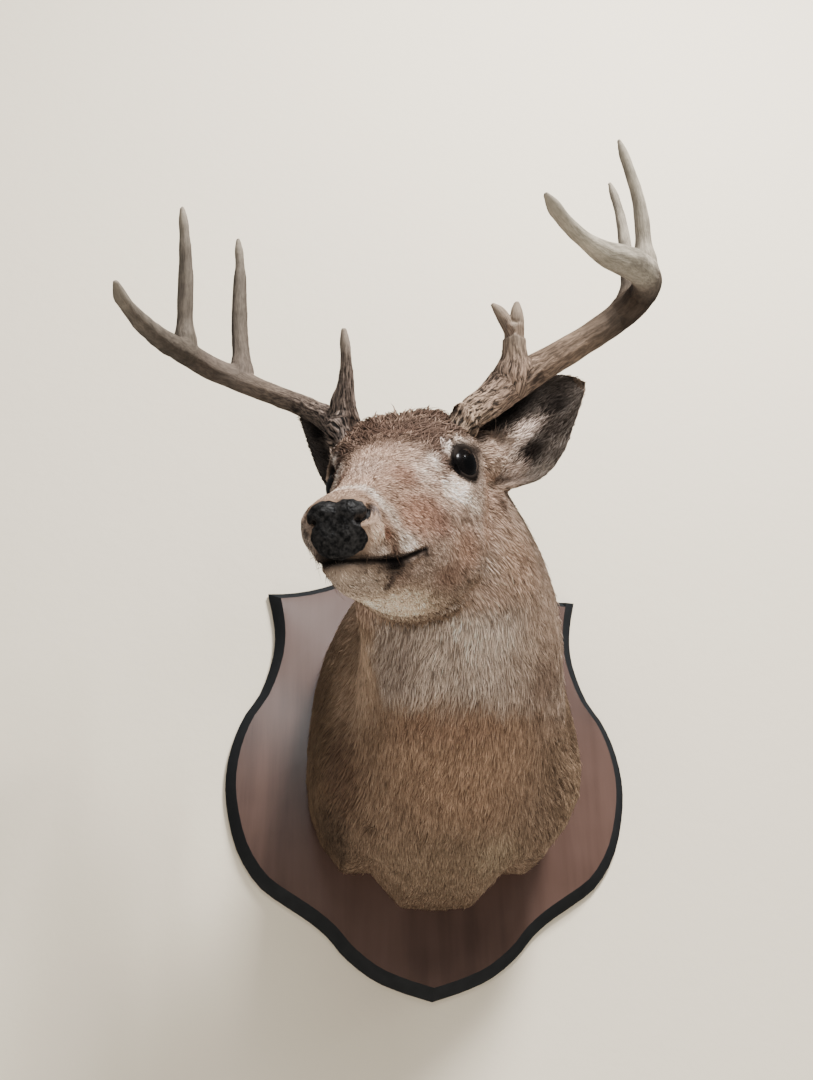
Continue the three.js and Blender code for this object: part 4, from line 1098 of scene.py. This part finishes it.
def hairFlow(points, q, normals):  # lie of the coat: back from the nose, out along the ears, down the neck
    n = normals @ headAxes.T
    head = np.tile(np.array([-1.0, 0, 0]), (len(q), 1))
    head[:, 2] -= 0.35 * smoothStep(15, -30, q[:, 2]) * smoothStep(0.3, 0.8, np.abs(n[:, 1]))
    head[:, 1] += 0.35 * np.sign(q[:, 1]) * smoothStep(0.3, 0.9, n[:, 2]) * smoothStep(60, 0, q[:, 0])
    head[:, 2] -= 0.5 * smoothStep(-20, -70, q[:, 0]) * smoothStep(10, -30, q[:, 2])
    x, z = points[:, 0], points[:, 2]
    body = np.zeros((len(q), 3))
    body[:, 0] = 0.3 * np.tanh(x / 0.06) + 0.65 * smoothStep(0.02, 0.07, x) * smoothStep(-0.02, 0.04, z)
    body[:, 0] += 0.5 * smoothStep(0.06, 0.11, x) - 0.35 * smoothStep(-0.06, -0.11, x)
    body[:, 1] = 0.62 + 0.3 * smoothStep(0.02, 0.12, z) + 0.5 * smoothStep(-0.09, -0.12, z)
    body[:, 2] = -0.78 + 0.45 * smoothStep(0.0, 0.8, normals[:, 2])
    onHead = smoothStep(-120, -50, q[:, 0]) * smoothStep(-125, -95, q[:, 2])
    way = body + (head @ headAxes - body) * onHead[:, None]
    for ear in ears.values():
        _, along, aside = earPlace(q, ear)
        share = smoothStep(-5, 25, along) * smoothStep(75, 60, aside)
        way = way + (ear["axis"] @ headAxes - way) * share[:, None]
    return unit(way - normals * (way * normals).sum(axis=1)[:, None])


def plantRoots(chosen, gap):  # roots on the chosen triangles of the skin, about so many mm apart
    faces = np.nonzero(chosen)[0]
    running = np.cumsum(area[faces]) / (gap * mm) ** 2
    total = int(running[-1])
    picks = faces[np.searchsorted(running, np.arange(total) + rng.random(total)).clip(0, len(faces) - 1)]
    u, v = rng.random(total), rng.random(total)
    flip = u + v > 1
    u, v = np.where(flip, 1 - u, u), np.where(flip, 1 - v, v)
    mix = np.stack([1 - u - v, u, v], axis=1)[:, :, None]
    root = (skinPoints[corners[picks]] * mix).sum(axis=1)
    normal = unit((skinNormals[corners[picks]] * mix).sum(axis=1))
    rootUv = (skinUv[loops[picks]] * mix).sum(axis=1)
    q = toHead(root)
    eyeGap = eyeShare(q)
    mouthGap = np.where(q[:, 0] > 74, np.abs(q[:, 2] - mouthHeight(q[:, 0])), 99)
    keep = (eyeGap > coatLook["eyeMargin"]) & (noseShare(q) < -coatLook["noseMargin"])
    keep = keep & (mouthGap > coatLook["mouthMargin"]) & (normal[:, 1] < 0.97)
    return [values[keep] for values in (root, normal, rootUv, q, eyeGap, mouthGap)]


def tuftMesh(name, verts, rootUv):  # seven points and ten triangles a tuft: three points, three points, tip
    tufts = np.arange(len(rootUv)) * len(coatLook["spread"])
    tris = (np.array(coatLook["faces"])[None] + tufts[:, None, None]).reshape(-1, 3)
    mesh = bpy.data.meshes.new(name)
    mesh.vertices.add(len(verts))
    mesh.vertices.foreach_set("co", verts.astype(np.float32).ravel())
    mesh.loops.add(len(tris) * 3)
    mesh.loops.foreach_set("vertex_index", tris.astype(np.int32).ravel())
    mesh.polygons.add(len(tris))
    mesh.polygons.foreach_set("loop_start", np.arange(0, len(tris) * 3, 3, dtype=np.int32))
    mesh.update(calc_edges=True)
    spread = np.array(coatLook["spread"]) * coatLook["patch"] / 2
    uvs = (rootUv[:, None, :] + spread[None]).reshape(-1, 2).clip(0.0005, 0.9995)
    layer = mesh.uv_layers.new(name="OFBake")
    layer.uv.foreach_set("vector", uvs[tris.ravel()].astype(np.float32).ravel())
    return mesh


# gap, length and width in mm; lift raises the tips, ruffle and swirl turn them, gather draws them into locks, hug
# is how far they may be drawn down to the skin; shade is their brightness, vary and clumpVary how it changes from
# tuft to tuft and from lock to lock
def plantTufts(name, chosen, gap, length, width, lift=1.0, ruffle=0.0, shade=1.15, gather=0.6, clumpVary=0.17,
               hug=99.0, swirl=1.0, vary=0.18):
    root, normal, rootUv, q, eyeGap, mouthGap = plantRoots(chosen, gap)
    total = len(root)
    way = hairFlow(root, q, normal)
    side = np.cross(normal, way)
    clumpNoise = wander(root, coatLook["clump"] * mm, 21)
    swing = 0.2 * swirl * clumpNoise + 0.2 * wander(root, 38 * mm, 22) + 0.1 * rng.standard_normal(total)
    swing += ruffle * (wander(root, 7 * mm, 24) + 0.5 * rng.standard_normal(total))
    way = way * np.cos(swing)[:, None] + side * np.sin(swing)[:, None]
    side = np.cross(normal, way)

    seeds = rng.permutation(total)[:max(total // coatLook["perClump"], 1)]  # each tuft leans to the seed of a lock
    shifted = root + way * ((rng.random(total) - 0.5) * 0.5 * length[1] * mm)[:, None]
    clump = nearest(root[seeds])(shifted)
    pull = ((root[seeds][clump] - root) * side).sum(axis=1)

    depth = coatDepth(q)
    small = np.clip(smoothStep(1.1, 3.2, eyeGap) * 0.65 + 0.35, 0, 1) * np.clip(0.45 + mouthGap / 12, 0, 1)
    small = small * (1 - 0.5 * np.exp(-(((q - (46, 0, -103)) / (50, 36, 10)) ** 2).sum(axis=1)))
    long = length[0] + (length[1] - length[0]) * rng.random(total)
    long = long * small * (1 + 0.2 * wander(root, 14 * mm, 23)) * mm
    wide = width * (0.7 + 0.6 * rng.random(total)) * np.sqrt(small) * mm
    rise = depth * (0.25 + 0.75 * rng.random(total)) * lift * (1 + 0.3 * clumpNoise) * mm
    rise = np.where(rng.random(total) < coatLook["strays"], rise * 2.2, rise)
    thick = np.minimum(0.3 * wide, 0.5 * depth * mm)

    ends = [(root - normal * coatLook["sink"] * mm, normal, side)]  # root, middle and tip
    for share, height in ((0.5, 0.55), (1.0, 0.85)):
        spot = root + way * (long * share)[:, None] + side * (pull * share ** 1.5 * gather)[:, None]
        near = nearSkin(spot)
        n = skinNormals[near]
        over = ((spot - skinPoints[near]) * n).sum(axis=1)
        spot = spot + n * np.maximum(rise * height - over, -hug * mm)[:, None]
        ends.append((spot, n, unit(np.cross(n, way))))
    (p0, n0, s0), (p1, n1, s1) = ends[:2]
    tip = ends[2][0]
    half0, half1 = s0 * (wide * 0.38)[:, None], s1 * (wide * 0.5)[:, None]
    top0, top1, sunk1 = n0 * (thick + 0.5 * mm)[:, None], n1 * (thick * 0.7)[:, None], n1 * (thick * 0.3)[:, None]
    verts = np.stack([p0 - half0, p0 + half0, p0 + top0, p1 - half1 - sunk1, p1 + half1 - sunk1, p1 + top1, tip],
                     axis=1).reshape(-1, 3)
    mesh = tuftMesh(name, verts, rootUv)

    streaky = 1 + 1.4 * smoothStep(0.03, 0.1, root[:, 0]) * smoothStep(-100, -130, q[:, 0])
    vary = vary * rng.standard_normal(total) + clumpVary * rng.standard_normal(len(seeds))[clump] * streaky
    vary = 1 + vary + 0.1 * wander(root, 9 * mm, 31) + 0.1 * wander(root, 4 * mm, 33) + 0.07 * wander(root, 26 * mm, 34)
    vary = shade * vary.clip(0.35, 2.0)
    colour = markings(root, normal) * np.stack([vary, vary ** 1.08, vary ** 1.16], axis=1)
    # painted shade at the root and sides of each tuft, painted light on its top and tip
    ramp = np.array(coatLook["ramp"])
    writeTone(mesh, (colour[:, None, :] * ramp[None, :, None]).reshape(-1, 3).clip(0, 1))
    piece = bpy.data.objects.new(name, mesh)
    scene.collection.objects.link(piece)
    mesh.materials.append(tuftMaterial)
    pickOnly(piece)
    bpy.ops.object.shade_smooth()
    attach(piece, "root")
    print(name, total, "tufts")


tuftMaterial = coatMaterial("lockedDeerHair", 0.75, 900.0, 0.2)  # nap of 1.1 mm
x, y, z = middles.T
forward, side, up = qMiddles.T
isEar = earShare(qMiddles) > 0.5
isHead = (smoothStep(-100, -50, forward) * smoothStep(-122, -104, up) > 0.5) & ~isEar
plantTufts("coatFace", isHead & (forward > 35), 1.5, (4.5, 7.5), 0.7, gather=0.45, swirl=0.4, vary=0.36)
plantTufts("coatCrown", isHead & (forward <= 35) & (up > -10), 1.7, (6, 10), 0.9, vary=0.28)
plantTufts("coatCheeks", isHead & (forward <= 35) & (up <= -10), 1.8, (7, 12), 0.9, gather=0.5, swirl=0.5, vary=0.28)
brow = isHead & (forward > -62) & (forward < 34) & (up > 18) & (np.abs(side) < 52)
plantTufts("coatForelock", brow, 2.8, (9, 15), 1.5, lift=2.2, ruffle=0.8)
plantTufts("coatEars", isEar, coatLook["earGap"], (7, 12), 1.0, gather=0.4, clumpVary=0.08)
fringe = np.linalg.norm((np.stack([forward, np.abs(side), up], axis=1) - (-64, 76, 41)) / (13, 12, 16), axis=1) < 1
plantTufts("coatEarFringe", fringe, 1.5, (18, 28), 0.8, lift=1.8, ruffle=0.15, gather=0.3, clumpVary=0.08, hug=0.8)
lips = isHead & (forward > 128) & (forward < 172) & (up < -50) & (np.abs(side) > 14)
plantTufts("whiskers", lips, 7.5, (16, 28), 0.35, lift=16.0, ruffle=0.9, shade=0.5)
isBody = ~isEar & ~isHead
isNeck = isBody & (y < -0.21)
isTrunk = isBody & (y >= -0.21)
for name, chosen in (  # left and right as seen from the room
    ("coatNeckLeft", isNeck & (x < 0.01)),
    ("coatNeckRight", isNeck & (x >= 0.01)),
    ("coatFlankLeft", isTrunk & (x < -0.02) & (z < 0.08)),
    ("coatBrisket", isTrunk & (x >= -0.02) & (x < 0.09) & (z < 0.05)),
    ("coatWithersLeft", isTrunk & (x < 0) & (z >= np.where(x < -0.02, 0.08, 0.05))),
    ("coatFlankRight", isTrunk & (x >= 0.09) & (z < 0.08)),
    ("coatWithersRight", isTrunk & (x >= 0) & (z >= np.where(x < 0.09, 0.05, 0.08))),
):
    plantTufts(name, chosen, **coatLook["body"])
